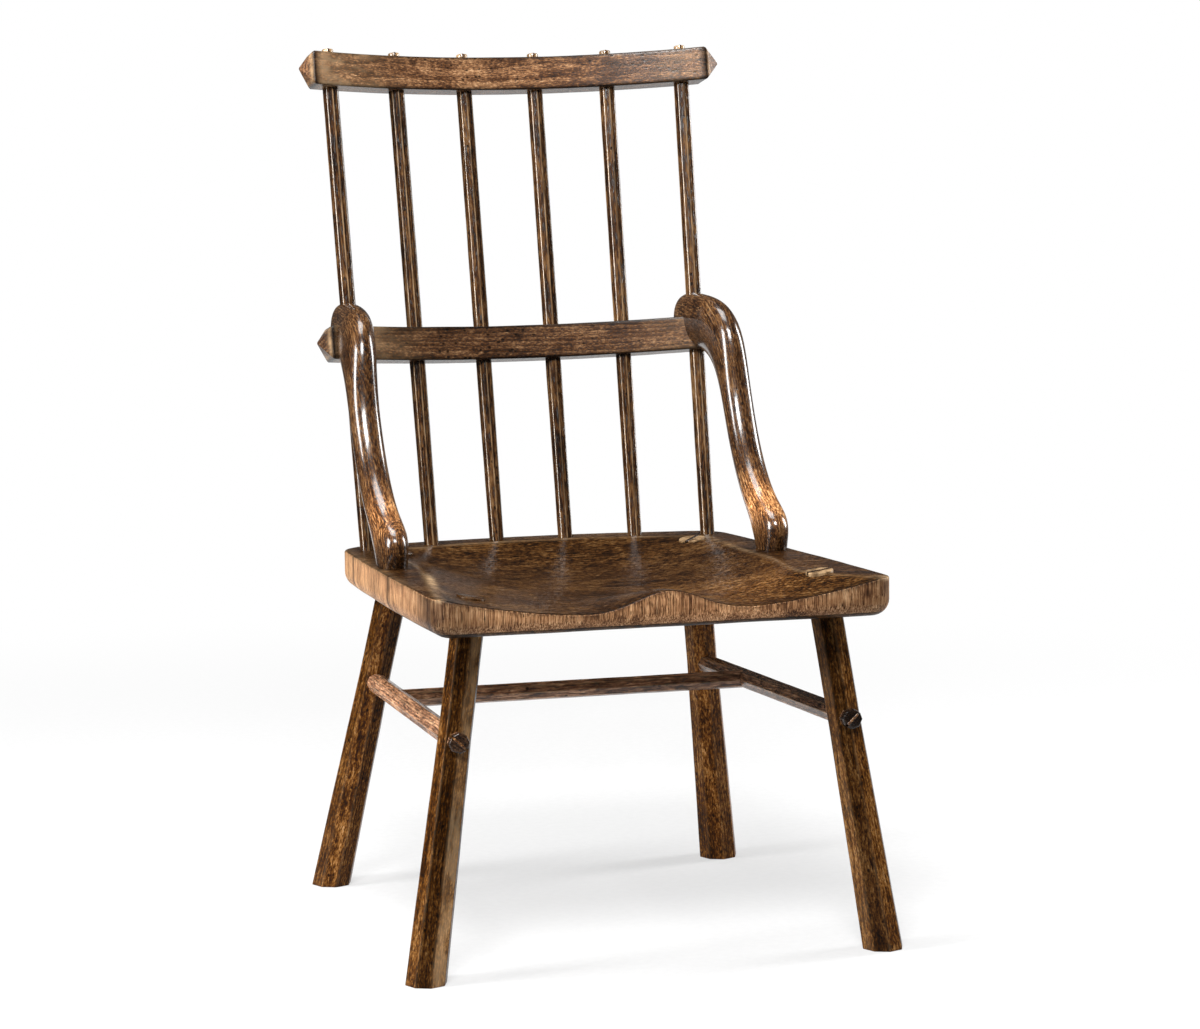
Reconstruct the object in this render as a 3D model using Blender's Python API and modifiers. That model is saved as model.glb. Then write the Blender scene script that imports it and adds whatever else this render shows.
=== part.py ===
"""Plank seat chair with low swept arms, modelled as its separate wooden pieces.

Metres, +Z up, the floor at z = 0 and the sitter facing -Y. Nothing moves: every joint is a glued tenon,
and the through tenons are spread by wedges.
"""

import math

import bmesh
import bpy
from mathutils import Matrix, Vector

# Fits
GAP = 0.0003
TENON_PROUD = 0.002
TENON_CHAMFER = 0.001

# Seat plank: from front to rear the rim plane falls and the half width shrinks; the bows are how far the
# sides bulge at mid depth, and how far the rear edge comes forward at the sides
RIM_Z = 0.452
RIM_FALL = 0.01875
SEAT_THICKNESS = 0.0473
SEAT_FRONT = -0.281
SEAT_REAR = 0.320
SEAT_HALF_FRONT = 0.2832
SIDE_TAPER = 0.0315
SIDE_BOW = 0.00528
REAR_BOW = 0.0332
FRONT_CORNER = 0.027
REAR_CORNER = 0.034
LOWER_ROUND = 0.020
UPPER_ROUND = 0.002

# Seat scoop: the ridge is (share of the seat's depth, share of its half width); the left one flares earlier
SCOOP_DEPTH = 0.029
SCOOP_TO_SPINDLES = 0.0163
SCOOP_LEVEL = 0.341
SIDE_POWER = 2.3
REAR_POWER = 2.2
RIDGE_LEFT = ((-0.032, 0.988), (0.201, 0.917), (0.434, 0.826), (0.617, 0.793), (0.877, 0.865))
RIDGE_RIGHT = (
    (-0.032, 0.995), (0.126, 0.767), (0.193, 0.713), (0.401, 0.773), (0.617, 0.793), (0.877, 0.865),
)
POMMEL_RISE = 0.027
POMMEL_WIDTH = 0.0566
POMMEL_LENGTH = 0.201

# Legs: octagonal, with an arris to the front. A leg is where its axis passes the height LEG_AXIS_Z, as the
# inset from the seat's side and y, and how far out and back its foot stands from there.
LEG_ACROSS = 0.038
LEG_FOOT_ACROSS = 0.0468
LEG_KNEE_Z = 0.284
LEG_AXIS_Z = 0.400
FRONT_LEG = ((0.0559, -0.2030), (0.0610, -0.0334))
REAR_LEG = ((0.05795, 0.2219), (0.0638, 0.0896))
LEG_TENON = 0.034
FRONT_WEDGE_TURN = math.radians(10)
REAR_WEDGE_TURN = math.radians(47)

# Stretchers: the side ones run through the legs, the medial one is scribed to them
SIDE_STRETCHER_ACROSS = 0.0236
SIDE_STRETCHER_FRONT_Z = 0.2837
SIDE_STRETCHER_REAR_Z = 0.2748
STRETCHER_FRONT_PROUD = 0.008
STRETCHER_REAR_PROUD = 0.003
STRETCHER_CHAMFER = 0.002
STRETCHER_WEDGE_TURN = math.radians(45)
MEDIAL_ACROSS = 0.0212
MEDIAL_Y = 0.0993
MEDIAL_SCRIBE = 0.009
MEDIAL_TENON = 0.012
MEDIAL_TENON_LENGTH = 0.007

# Back: spindle axes lie on a raked surface that is curved in plan, hollow to the front
RAKE = math.radians(13.2)
BACK_Y = 0.2891
BACK_RADIUS = 0.640
SPINDLE_SEAT_X = (0.0463, 0.1371, 0.2285)
SPINDLE_CREST_X = (0.0481, 0.1432, 0.2375)
SPINDLE_ACROSS = 0.0197
SPINDLE_SEAT_ACROSS = 0.0181
SPINDLE_FOOT_TENON = 0.013
SPINDLE_FOOT_DEPTH = 0.028
SPINDLE_CREST_TENON = 0.0145
SPINDLE_PROUD = 0.007

# Rails
RAIL_HEIGHT = 0.0433
RAIL_THICKNESS = 0.0355
RAIL_HALF_LENGTH = 0.2635
RAIL_POINT = 0.0192
ARM_RAIL_Z = 0.6915
CREST_RAIL_Z = 1.0358

# Arms: they turn in to the outer spindle between two shares of the way from the foot back to the rail.
# A station is (underside back, underside up, upper side back, upper side up) in shares of that way, and
# its width as a share of ARM_WIDTH.
ARM_INSET = 0.0239
ARM_FOOT_Y = 0.054
ARM_WIDTH = 0.039
ARM_TURN_IN = (0.50, 1.10)
ARM_STATIONS = (
    (0.048, -0.121, -0.071, -0.121, 0.923),
    (0.095, 0.007, -0.095, 0.007, 0.949),
    (0.159, 0.083, -0.135, 0.091, 1.051),
    (0.230, 0.150, -0.111, 0.182, 1.051),
    (0.290, 0.210, 0.071, 0.254, 1.000),
    (0.365, 0.298, 0.206, 0.358, 1.000),
    (0.448, 0.421, 0.321, 0.485, 1.000),
    (0.528, 0.557, 0.401, 0.621, 1.000),
    (0.595, 0.684, 0.456, 0.740, 1.000),
    (0.667, 0.800, 0.488, 0.848, 1.026),
    (0.754, 0.872, 0.512, 0.963, 1.077),
    (0.853, 0.908, 0.564, 1.103, 1.128),
    (0.944, 0.920, 0.706, 1.203, 1.154),
    (1.040, 0.925, 0.937, 1.218, 1.154),
    (1.234, 0.935, 1.274, 1.206, 1.154),
)
CAGE_ROUNDING = 0.93
ARM_TENON = 0.020
ARM_TENON_DEPTH = 0.028

# Wedges: thickness at the top and the tip, and depth; a slot is longer than the tenon is wide
LEG_WEDGE = (0.0040, 0.0012, 0.026)
SPINDLE_WEDGE = (0.0022, 0.0008, 0.018)
STRETCHER_WEDGE = (0.0030, 0.0010, 0.022)
SLOT_OVERRUN = 1.5

# Cutters reach past what they cut
FLOOR_OVERRUN = 0.02
SCOOP_OVERRUN = 0.012
TRIM_BLOCK = 0.2

# Resolution
OCTAGON = 8
ROUND_SIDES = 24
SIDE_STEPS = 6
REAR_STEPS = 8
CORNER_STEPS = 6
LOWER_ROUND_STEPS = 4
SCOOP_CELLS = (32, 33)
CELLS_PAST_RIDGE = 3.5
RAIL_CUTS = 24
ARM_SUBDIVISIONS = 2
SETTLE_ROUNDS = 12
SAME_PLANE = 1e-5
SHARP_ANGLE = math.radians(30)

# Colours, linear
WOOD = (0.105, 0.052, 0.027, 1.0)
SEAT_WOOD = (0.092, 0.045, 0.023, 1.0)
WEDGE_WOOD = (0.050, 0.026, 0.015, 1.0)
LACQUER_ROUGHNESS = 0.42

UP = Vector((0.0, 0.0, 1.0))
SIDES = (("left", -1), ("right", 1))
OUTERMOST = len(SPINDLE_SEAT_X) - 1


for leftover in list(bpy.data.objects):
    bpy.data.objects.remove(leftover)

chair = bpy.data.collections.new("plank_seat_chair")
cutters = bpy.data.collections.new("cutters")
bpy.context.scene.collection.children.link(chair)
bpy.context.scene.collection.children.link(cutters)
root = bpy.data.objects.new("chair_origin", None)
chair.objects.link(root)


# Building helpers

def wood_material(name, colour):
    material = bpy.data.materials.new(name)
    material.use_nodes = True
    shader = material.node_tree.nodes["Principled BSDF"]
    shader.inputs["Base Color"].default_value = colour
    shader.inputs["Roughness"].default_value = LACQUER_ROUGHNESS
    shader.inputs["Metallic"].default_value = 0.0
    return material


def add_object(name, bm, collection, frame):
    """An object whose mesh was built in chair coordinates, placed by its own frame under the root."""
    bm.transform(frame.inverted())
    bmesh.ops.recalc_face_normals(bm, faces=bm.faces[:])
    if bm.calc_volume(signed=True) < 0:
        bmesh.ops.reverse_faces(bm, faces=bm.faces[:])
    mesh = bpy.data.meshes.new(name)
    bm.to_mesh(mesh)
    bm.free()
    mesh.shade_smooth()
    mesh.set_sharp_from_angle(angle=SHARP_ANGLE)
    obj = bpy.data.objects.new(name, mesh)
    collection.objects.link(obj)
    obj.parent = root
    obj.matrix_local = frame
    return obj


def add_piece(name, bm, frame, colour):
    obj = add_object(name, bm, chair, frame)
    obj.data.materials.append(wood_material(name, colour))
    return obj


def add_cutter(name, bm, frame=Matrix()):
    obj = add_object(name, bm, cutters, frame)
    obj.hide_render = True
    obj.display_type = "WIRE"
    return obj


def boolean(obj, other, operation="DIFFERENCE"):
    modifier = obj.modifiers.new(f"{operation.lower()} {other.name}", "BOOLEAN")
    modifier.operation = operation
    modifier.object = other


def along(start, end):
    """A frame at start whose Z axis runs towards end."""
    turn = UP.rotation_difference(end - start)
    return Matrix.Translation(start) @ turn.to_matrix().to_4x4()


def to_corner(sides):
    """Distance to a polygon's corners over the distance to its flats."""
    return 1 / math.cos(math.pi / sides)


def add_bar(bm, start, end, across_start, across_end, sides=OCTAGON):
    """A straight bar; across is the width over the flats of an octagon, or a round bar's diameter."""
    corner = to_corner(sides) if sides == OCTAGON else 1.0
    length = (end - start).length
    made = bmesh.ops.create_cone(
        bm,
        cap_ends=True,
        segments=sides,
        radius1=across_start / 2 * corner,
        radius2=across_end / 2 * corner,
        depth=length,
        matrix=along(start, end) @ Matrix.Translation((0.0, 0.0, length / 2)),
    )
    return made["verts"]


def verts_of(geometry):
    return [item for item in geometry if isinstance(item, bmesh.types.BMVert)]


def lengthen(bm, verts, direction):
    """Extrudes the end face of a bar that lies furthest along direction."""
    faces = {face for vert in verts for face in vert.link_faces if len(face.verts) == OCTAGON}
    end = max(faces, key=lambda face: face.calc_center_median().dot(direction))
    moved = bmesh.ops.extrude_discrete_faces(bm, faces=[end])["faces"][0]
    bmesh.ops.translate(bm, vec=direction, verts=moved.verts[:])


def trim(bm, point, normal):
    """Cuts away what lies beyond the plane on the normal's side, and closes the cut."""
    geometry = bm.verts[:] + bm.edges[:] + bm.faces[:]
    cut = bmesh.ops.bisect_plane(bm, geom=geometry, plane_co=point, plane_no=normal, clear_outer=True)
    rim = [item for item in cut["geom_cut"] if isinstance(item, bmesh.types.BMEdge)]
    bmesh.ops.edgeloop_fill(bm, edges=rim)


def chamfer_end(bm, point, normal, size):
    """Chamfers the rim of the flat end that lies in the given plane."""
    edges = [
        edge
        for edge in bm.edges
        if all(abs((vert.co - point).dot(normal)) < SAME_PLANE for vert in edge.verts)
    ]
    bmesh.ops.bevel(bm, geom=edges, offset=size, segments=1, affect="EDGES")


def add_wedge(bm, frame, length, shape, extra=0.0):
    """A wedge under the frame's XY plane, along its X axis, pointing down its Z axis."""
    top, tip, depth = shape
    made = bmesh.ops.create_cube(bm, size=1.0)["verts"]
    for vert in made:
        is_top = vert.co.z > 0
        thickness = (top if is_top else tip) + 2 * extra
        vert.co = Vector((vert.co.x * length, vert.co.y * thickness, 0.0 if is_top else -depth - extra))
    bmesh.ops.transform(bm, matrix=frame, verts=made)


def drive_wedge(tenon, name, frame, end_normal, across, shape):
    """Slots a tenon across its end, and puts a wedge in the slot, flush with that end."""
    top, tip, depth = shape
    lift = across / 2
    tall = (top + (top - tip) * lift / depth, tip, depth + lift)
    lifted = frame @ Matrix.Translation((0.0, 0.0, lift))
    bm = bmesh.new()
    add_wedge(bm, lifted, SLOT_OVERRUN * across, tall, GAP)
    boolean(tenon, add_cutter(f"{name}_slot", bm))
    bm = bmesh.new()
    add_wedge(bm, lifted, across - 2 * TENON_CHAMFER, tall)
    trim(bm, frame.translation, end_normal)
    add_piece(name, bm, frame, WEDGE_WOOD)


def between(first, second, share):
    return first + (second - first) * share


def ease(share):
    """A smooth step from 0 to 1."""
    share = min(max(share, 0.0), 1.0)
    return share**2 * (3 - 2 * share)


def smooth_through(value, points):
    """A smooth curve through (place, height) points, read at value and held level past its ends."""
    places = [place for place, height in points]
    heights = [height for place, height in points]
    if value <= places[0]:
        return heights[0]
    if value >= places[-1]:
        return heights[-1]
    last = len(points) - 1
    i = max(index for index in range(last) if places[index] <= value)
    span = places[i + 1] - places[i]
    part = (value - places[i]) / span

    def slope(j):
        before, after = max(j - 1, 0), min(j + 1, last)
        return (heights[after] - heights[before]) / (places[after] - places[before])

    bend = span * (slope(i) * (part**3 - 2 * part**2 + part) + slope(i + 1) * (part**3 - part**2))
    return between(heights[i], heights[i + 1], ease(part)) + bend


# Shared geometry

SEAT_DEPTH = SEAT_REAR - SEAT_FRONT
RIM_SLOPE = RIM_FALL / SEAT_DEPTH
RIM_NORMAL = Vector((0.0, RIM_SLOPE, 1.0)).normalized()
RIM_TILT = Matrix.Rotation(-math.atan(RIM_SLOPE), 4, "X")
SEAT_UNDERSIDE = Vector((0.0, 0.0, RIM_Z)) - RIM_NORMAL * SEAT_THICKNESS


def rim_z(y):
    return RIM_Z - RIM_SLOPE * y


def seat_share(y):
    return (y - SEAT_FRONT) / SEAT_DEPTH


def half_width(y):
    share = seat_share(y)
    return SEAT_HALF_FRONT - SIDE_TAPER * share + 4 * SIDE_BOW * share * (1 - share)


def rear_edge(x):
    return SEAT_REAR - REAR_BOW * (x / half_width(SEAT_REAR)) ** 2


def ridge(x, y):
    return half_width(y) * smooth_through(seat_share(y), RIDGE_LEFT if x < 0 else RIDGE_RIGHT)


def scoop_rear(x):
    """The scoop ends just in front of the spindles' feet."""
    return BACK_Y - SCOOP_TO_SPINDLES - x**2 / (2 * BACK_RADIUS)


def scoop_depth(x, y):
    """Depth of the saddle under the rim plane; negative outside its ridge."""
    across = 1 - (abs(x) / ridge(x, y)) ** SIDE_POWER
    level_y = SEAT_FRONT + SCOOP_LEVEL
    back = max(0.0, (y - level_y) / (scoop_rear(x) - level_y))
    lengthways = 1 - back**REAR_POWER
    inside = across > 0 and lengthways > 0
    bowl = across * lengthways if inside else min(across, 0.0) + min(lengthways, 0.0)
    reach = ease(1 - (y - SEAT_FRONT) / POMMEL_LENGTH)
    pommel = POMMEL_RISE * math.exp(-((x / POMMEL_WIDTH) ** 2)) * reach
    return SCOOP_DEPTH * bowl - pommel


def seat_top(x, y):
    return rim_z(y) - max(scoop_depth(x, y), 0.0)


def seat_top_plane(x, y, reach=LEG_TENON / 2):
    """A point on the seat over (x, y) and the normal of the plane that fits the surface around it."""
    slope_x = (seat_top(x + reach, y) - seat_top(x - reach, y)) / (2 * reach)
    slope_y = (seat_top(x, y + reach) - seat_top(x, y - reach)) / (2 * reach)
    return Vector((x, y, seat_top(x, y))), Vector((-slope_x, -slope_y, 1.0)).normalized()


BACK_Z = rim_z(BACK_Y)
RAIL_RADIUS = BACK_RADIUS / math.cos(RAKE)
SPINDLE_UP = (Matrix.Rotation(-RAKE, 3, "X") @ UP).normalized()


def back_point(x, z):
    """A point of the raked, curved surface that holds the spindle axes."""
    return Vector((x, BACK_Y + math.tan(RAKE) * (z - BACK_Z) - x**2 / (2 * BACK_RADIUS), z))


def rail_frame(z):
    """X along the rail, Y out of its back and Z up the spindles."""
    return Matrix.Translation(back_point(0.0, z)) @ Matrix.Rotation(-RAKE, 4, "X")


def rail_arc(x, out=0.0):
    """A point of the rail's curve in the rail's frame, moved out of its back."""
    angle = math.asin(x / RAIL_RADIUS)
    reach = RAIL_RADIUS + out
    return Vector((math.sin(angle) * reach, math.cos(angle) * reach - RAIL_RADIUS, 0.0))


def spindle_axis(i, side):
    lower = back_point(side * SPINDLE_SEAT_X[i], BACK_Z)
    upper = back_point(side * SPINDLE_CREST_X[i], CREST_RAIL_Z)
    return lower, upper


# Seat

def plank_mesh():
    """The plank before it is hollowed, in the frame of its rim plane."""
    bm = bmesh.new()
    rear_y = SEAT_REAR
    for _ in range(SETTLE_ROUNDS):
        rear_y = rear_edge(half_width(rear_y))
    side = [between(SEAT_FRONT, rear_y, i / SIDE_STEPS) for i in range(SIDE_STEPS + 1)]
    rear = [half_width(rear_y) * (1 - 2 * i / REAR_STEPS) for i in range(1, REAR_STEPS)]
    outline = [(half_width(y), y) for y in side]
    outline += [(x, rear_edge(x)) for x in rear]
    outline += [(-half_width(y), y) for y in reversed(side)]
    verts = [bm.verts.new((x, y, 0.0)) for x, y in outline]
    bm.faces.new(verts)
    front_corners = [verts[0], verts[-1]]
    rear_corners = [verts[SIDE_STEPS], verts[-1 - SIDE_STEPS]]
    for corners, radius in ((front_corners, FRONT_CORNER), (rear_corners, REAR_CORNER)):
        bmesh.ops.bevel(bm, geom=corners, offset=radius, segments=CORNER_STEPS, profile=0.5, affect="VERTICES")
    lower = verts_of(bmesh.ops.extrude_face_region(bm, geom=bm.faces[:])["geom"])
    bmesh.ops.translate(bm, vec=(0.0, 0.0, -SEAT_THICKNESS), verts=lower)
    for z, radius, steps in ((-SEAT_THICKNESS, LOWER_ROUND, LOWER_ROUND_STEPS), (0.0, UPPER_ROUND, 1)):
        edges = [edge for edge in bm.edges if all(abs(vert.co.z - z) < SAME_PLANE for vert in edge.verts)]
        bmesh.ops.bevel(bm, geom=edges, offset=radius, segments=steps, profile=0.5, affect="EDGES")
    return bm


def scoop_mesh():
    """What is carved out of the plank: a grid that follows the ridge, closed above the rim.

    The ridge runs half way through a row of cells, so that no corner of the grid lies in the rim plane.
    """
    bm = bmesh.new()
    columns, rows = SCOOP_CELLS
    bmesh.ops.create_grid(bm, x_segments=columns, y_segments=rows, size=1.0)
    spread_x = columns / (columns - 2 * CELLS_PAST_RIDGE)
    spread_y = rows / (rows - CELLS_PAST_RIDGE)
    start = SEAT_FRONT - SCOOP_OVERRUN
    for vert in bm.verts:
        across, back = vert.co.x * spread_x, (vert.co.y + 1) / 2 * spread_y
        x = y = 0.0
        for _ in range(SETTLE_ROUNDS):
            y = between(start, scoop_rear(x), back)
            x = across * ridge(across, y)
        vert.co = (x, y, -scoop_depth(x, y))
    upper = verts_of(bmesh.ops.extrude_face_region(bm, geom=bm.faces[:])["geom"])
    for vert in upper:
        vert.co.z = 2 * SEAT_THICKNESS
    return bm


def make_seat():
    frame = Matrix.Translation((0.0, 0.0, RIM_Z)) @ RIM_TILT
    plank, scoop = plank_mesh(), scoop_mesh()
    plank.transform(frame)
    scoop.transform(frame)
    seat = add_piece("seat", plank, frame, SEAT_WOOD)
    boolean(seat, add_cutter("seat_scoop", scoop, frame))
    return seat


# Legs

def leg_point(plan, side, z):
    (inset, upper_y), (splay_out, splay_back) = plan
    below = 1 - z / LEG_AXIS_Z
    upper_x = half_width(upper_y) - inset
    return Vector((side * (upper_x + splay_out * below), upper_y + splay_back * below, z))


def leg_top_point(plan, side):
    """Where the leg's axis comes out of the seat."""
    z = RIM_Z
    for _ in range(SETTLE_ROUNDS):
        point = leg_point(plan, side, z)
        z = seat_top(point.x, point.y)
    return leg_point(plan, side, z)


def make_leg(place, side_name, plan, side, wedge_turn, seat):
    name = f"leg_{place}_{side_name}"
    foot, knee, above = (leg_point(plan, side, z) for z in (0.0, LEG_KNEE_Z, RIM_Z))
    below = leg_point(plan, side, -FLOOR_OVERRUN)
    across_below = between(LEG_ACROSS, LEG_FOOT_ACROSS, (LEG_KNEE_Z + FLOOR_OVERRUN) / LEG_KNEE_Z)
    bm = bmesh.new()
    verts = add_bar(bm, below, knee, across_below, LEG_ACROSS)
    lengthen(bm, verts, above - knee)
    trim(bm, Vector(), -UP)
    trim(bm, SEAT_UNDERSIDE - RIM_NORMAL * GAP, RIM_NORMAL)
    leg = add_piece(name, bm, along(foot, above), WOOD)

    top = leg_top_point(plan, side)
    surface, normal = seat_top_plane(top.x, top.y)
    crown = surface + normal * TENON_PROUD
    tenon_start = leg_point(plan, side, between(LEG_KNEE_Z, SEAT_UNDERSIDE.z, 0.5))
    tenon_end = leg_point(plan, side, top.z + LEG_TENON)
    bm = bmesh.new()
    add_bar(bm, tenon_start, tenon_end, LEG_TENON, LEG_TENON, ROUND_SIDES)
    trim(bm, crown, normal)
    chamfer_end(bm, crown, normal, TENON_CHAMFER)
    boolean(leg, add_cutter(f"{name}_tenon", bm), "UNION")

    hole = LEG_TENON + 2 * GAP
    bm = bmesh.new()
    add_bar(bm, tenon_start, tenon_end, hole, hole, ROUND_SIDES)
    boolean(seat, add_cutter(f"{name}_hole", bm))

    wedge_frame = along(crown, crown + above - foot) @ Matrix.Rotation(side * wedge_turn, 4, "Z")
    drive_wedge(leg, f"leg_wedge_{place}_{side_name}", wedge_frame, normal, LEG_TENON, LEG_WEDGE)
    return leg


# Stretchers

def stretcher_axis(side):
    front = leg_point(FRONT_LEG, side, SIDE_STRETCHER_FRONT_Z)
    rear = leg_point(REAR_LEG, side, SIDE_STRETCHER_REAR_Z)
    return front, rear


def make_side_stretcher(side_name, side, front_leg, rear_leg):
    name = f"side_stretcher_{side_name}"
    front, rear = stretcher_axis(side)
    forward = (front - rear).normalized()
    inside = LEG_ACROSS / 2 * to_corner(OCTAGON)
    front_end = front + forward * (inside + STRETCHER_FRONT_PROUD)
    rear_end = rear - forward * (inside + STRETCHER_REAR_PROUD)
    bm = bmesh.new()
    add_bar(bm, rear_end, front_end, SIDE_STRETCHER_ACROSS, SIDE_STRETCHER_ACROSS)
    chamfer_end(bm, front_end, forward, STRETCHER_CHAMFER)
    chamfer_end(bm, rear_end, forward, STRETCHER_CHAMFER)
    stretcher = add_piece(name, bm, along(rear, front), WOOD)

    hole = SIDE_STRETCHER_ACROSS + 2 * GAP
    past = forward * LEG_FOOT_ACROSS
    bm = bmesh.new()
    add_bar(bm, rear - past, front + past, hole, hole)
    bore = add_cutter(f"{name}_bore", bm)
    boolean(front_leg, bore)
    boolean(rear_leg, bore)

    turn = Matrix.Rotation(side * STRETCHER_WEDGE_TURN, 4, "Z")
    for place, end, outward in (("front", front_end, forward), ("rear", rear_end, -forward)):
        wedge_name = f"stretcher_wedge_{place}_{side_name}"
        wedge_frame = along(end, end + outward) @ turn
        drive_wedge(stretcher, wedge_name, wedge_frame, outward, SIDE_STRETCHER_ACROSS, STRETCHER_WEDGE)
    return stretcher


def make_medial_stretcher(side_stretchers):
    front, rear = stretcher_axis(1)
    middle = front.lerp(rear, (MEDIAL_Y - front.y) / (rear.y - front.y))
    arris = middle.x - SIDE_STRETCHER_ACROSS / 2 * to_corner(OCTAGON)
    half = arris + MEDIAL_SCRIBE

    def shapes(extra):
        body, tenon = bmesh.new(), bmesh.new()
        for bm, reach, across, sides in (
            (body, half, MEDIAL_ACROSS, OCTAGON),
            (tenon, half + MEDIAL_TENON_LENGTH, MEDIAL_TENON, ROUND_SIDES),
        ):
            ends = [Vector((x, MEDIAL_Y, middle.z)) for x in (-reach - extra, reach + extra)]
            add_bar(bm, *ends, across + 2 * extra, across + 2 * extra, sides)
        return body, tenon

    body, tenon = shapes(0.0)
    frame = along(Vector((0.0, MEDIAL_Y, middle.z)), Vector((middle.x, MEDIAL_Y, middle.z)))
    medial = add_piece("medial_stretcher", body, frame, WOOD)
    boolean(medial, add_cutter("medial_stretcher_tenon", tenon), "UNION")
    body, tenon = shapes(GAP)
    sockets = [add_cutter("medial_stretcher_socket", body), add_cutter("medial_stretcher_hole", tenon)]
    for stretcher in side_stretchers:
        for socket in sockets:
            boolean(stretcher, socket)


# Back

def rail_mesh(z, extra=0.0):
    """A bar with pyramid ends, bent to the back's curve and square to the spindles."""
    bm = bmesh.new()
    size = (2 * RAIL_HALF_LENGTH, RAIL_THICKNESS + 2 * extra, RAIL_HEIGHT + 2 * extra)
    bmesh.ops.create_cube(bm, size=1.0, matrix=Matrix.Diagonal((*size, 1.0)))
    bm.normal_update()
    ends = [face for face in bm.faces if abs(face.normal.x) > abs(face.normal.y) + abs(face.normal.z)]
    for tip in bmesh.ops.poke(bm, faces=ends)["verts"]:
        tip.co.x += math.copysign(RAIL_POINT, tip.co.x)
    for i in range(1, RAIL_CUTS):
        place = RAIL_HALF_LENGTH * (2 * i / RAIL_CUTS - 1)
        geometry = bm.verts[:] + bm.edges[:] + bm.faces[:]
        bmesh.ops.bisect_plane(bm, geom=geometry, plane_co=(place, 0, 0), plane_no=(1, 0, 0))
    for vert in bm.verts:
        vert.co.y = math.sqrt((RAIL_RADIUS + vert.co.y) ** 2 - vert.co.x**2) - RAIL_RADIUS
    bm.transform(rail_frame(z))
    return bm


def spindle_shaft(i, side, extra=0.0):
    """The octagonal shaft, slimmer towards the seat, and longer than needed at both ends."""
    lower, upper = spindle_axis(i, side)
    axis = (upper - lower).normalized()
    middle = lower.lerp(upper, (ARM_RAIL_Z - RAIL_HEIGHT - BACK_Z) / (CREST_RAIL_Z - BACK_Z))
    bm = bmesh.new()
    start = lower - axis * SEAT_THICKNESS
    verts = add_bar(bm, start, middle, SPINDLE_SEAT_ACROSS + 2 * extra, SPINDLE_ACROSS + 2 * extra)
    lengthen(bm, verts, upper + axis * 2 * RAIL_HEIGHT - middle)
    return bm


def make_spindle(number, side_name, side, seat, arm_rail, crest_rail, arm):
    name = f"spindle_{side_name}_{number}"
    lower, upper = spindle_axis(number - 1, side)
    axis = (upper - lower).normalized()
    crest = rail_frame(CREST_RAIL_Z)
    crest_under = crest @ Vector((0.0, 0.0, -RAIL_HEIGHT / 2 - GAP))
    crest_over = crest @ Vector((0.0, 0.0, RAIL_HEIGHT / 2 + SPINDLE_PROUD))
    bm = spindle_shaft(number - 1, side)
    trim(bm, Vector((0.0, 0.0, RIM_Z)) + RIM_NORMAL * GAP, -RIM_NORMAL)
    trim(bm, crest_under, SPINDLE_UP)
    spindle = add_piece(name, bm, along(lower, upper), WOOD)

    foot_end = lower - axis * SPINDLE_FOOT_DEPTH
    foot_start = lower + axis * SPINDLE_FOOT_DEPTH
    bm = bmesh.new()
    add_bar(bm, foot_end, foot_start, SPINDLE_FOOT_TENON, SPINDLE_FOOT_TENON, ROUND_SIDES)
    boolean(spindle, add_cutter(f"{name}_foot", bm), "UNION")
    bm = bmesh.new()
    hole = SPINDLE_FOOT_TENON + 2 * GAP
    add_bar(bm, foot_end - axis * GAP, foot_start, hole, hole, ROUND_SIDES)
    boolean(seat, add_cutter(f"{name}_foot_hole", bm))

    tenon_start, tenon_end = upper - axis * RAIL_HEIGHT, upper + axis * 2 * RAIL_HEIGHT
    bm = bmesh.new()
    add_bar(bm, tenon_start, tenon_end, SPINDLE_CREST_TENON, SPINDLE_CREST_TENON, ROUND_SIDES)
    trim(bm, crest_over, SPINDLE_UP)
    chamfer_end(bm, crest_over, SPINDLE_UP, TENON_CHAMFER)
    boolean(spindle, add_cutter(f"{name}_tenon", bm), "UNION")
    bm = bmesh.new()
    hole = SPINDLE_CREST_TENON + 2 * GAP
    add_bar(bm, tenon_start, tenon_end, hole, hole, ROUND_SIDES)
    boolean(crest_rail, add_cutter(f"{name}_crest_hole", bm))

    bore = add_cutter(f"{name}_bore", spindle_shaft(number - 1, side, GAP))
    boolean(arm_rail, bore)
    if arm:
        boolean(arm, bore)

    crown = lower + axis * ((crest_over - lower).dot(SPINDLE_UP) / axis.dot(SPINDLE_UP))
    across_rail = along(crown, crown + axis) @ Matrix.Rotation(math.pi / 2, 4, "Z")
    wedge_name = f"spindle_wedge_{side_name}_{number}"
    drive_wedge(spindle, wedge_name, across_rail, SPINDLE_UP, SPINDLE_CREST_TENON, SPINDLE_WEDGE)


# Arms

def arm_ends(side):
    """The foot's centre on the seat, and the rail's centre at the outer spindle."""
    foot = Vector((side * (half_width(ARM_FOOT_Y) - ARM_INSET), ARM_FOOT_Y, rim_z(ARM_FOOT_Y)))
    lower, upper = spindle_axis(OUTERMOST, side)
    spindle = lower.lerp(upper, (ARM_RAIL_Z - BACK_Z) / (CREST_RAIL_Z - BACK_Z))
    return foot, rail_frame(ARM_RAIL_Z) @ rail_arc(spindle.x)


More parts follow.
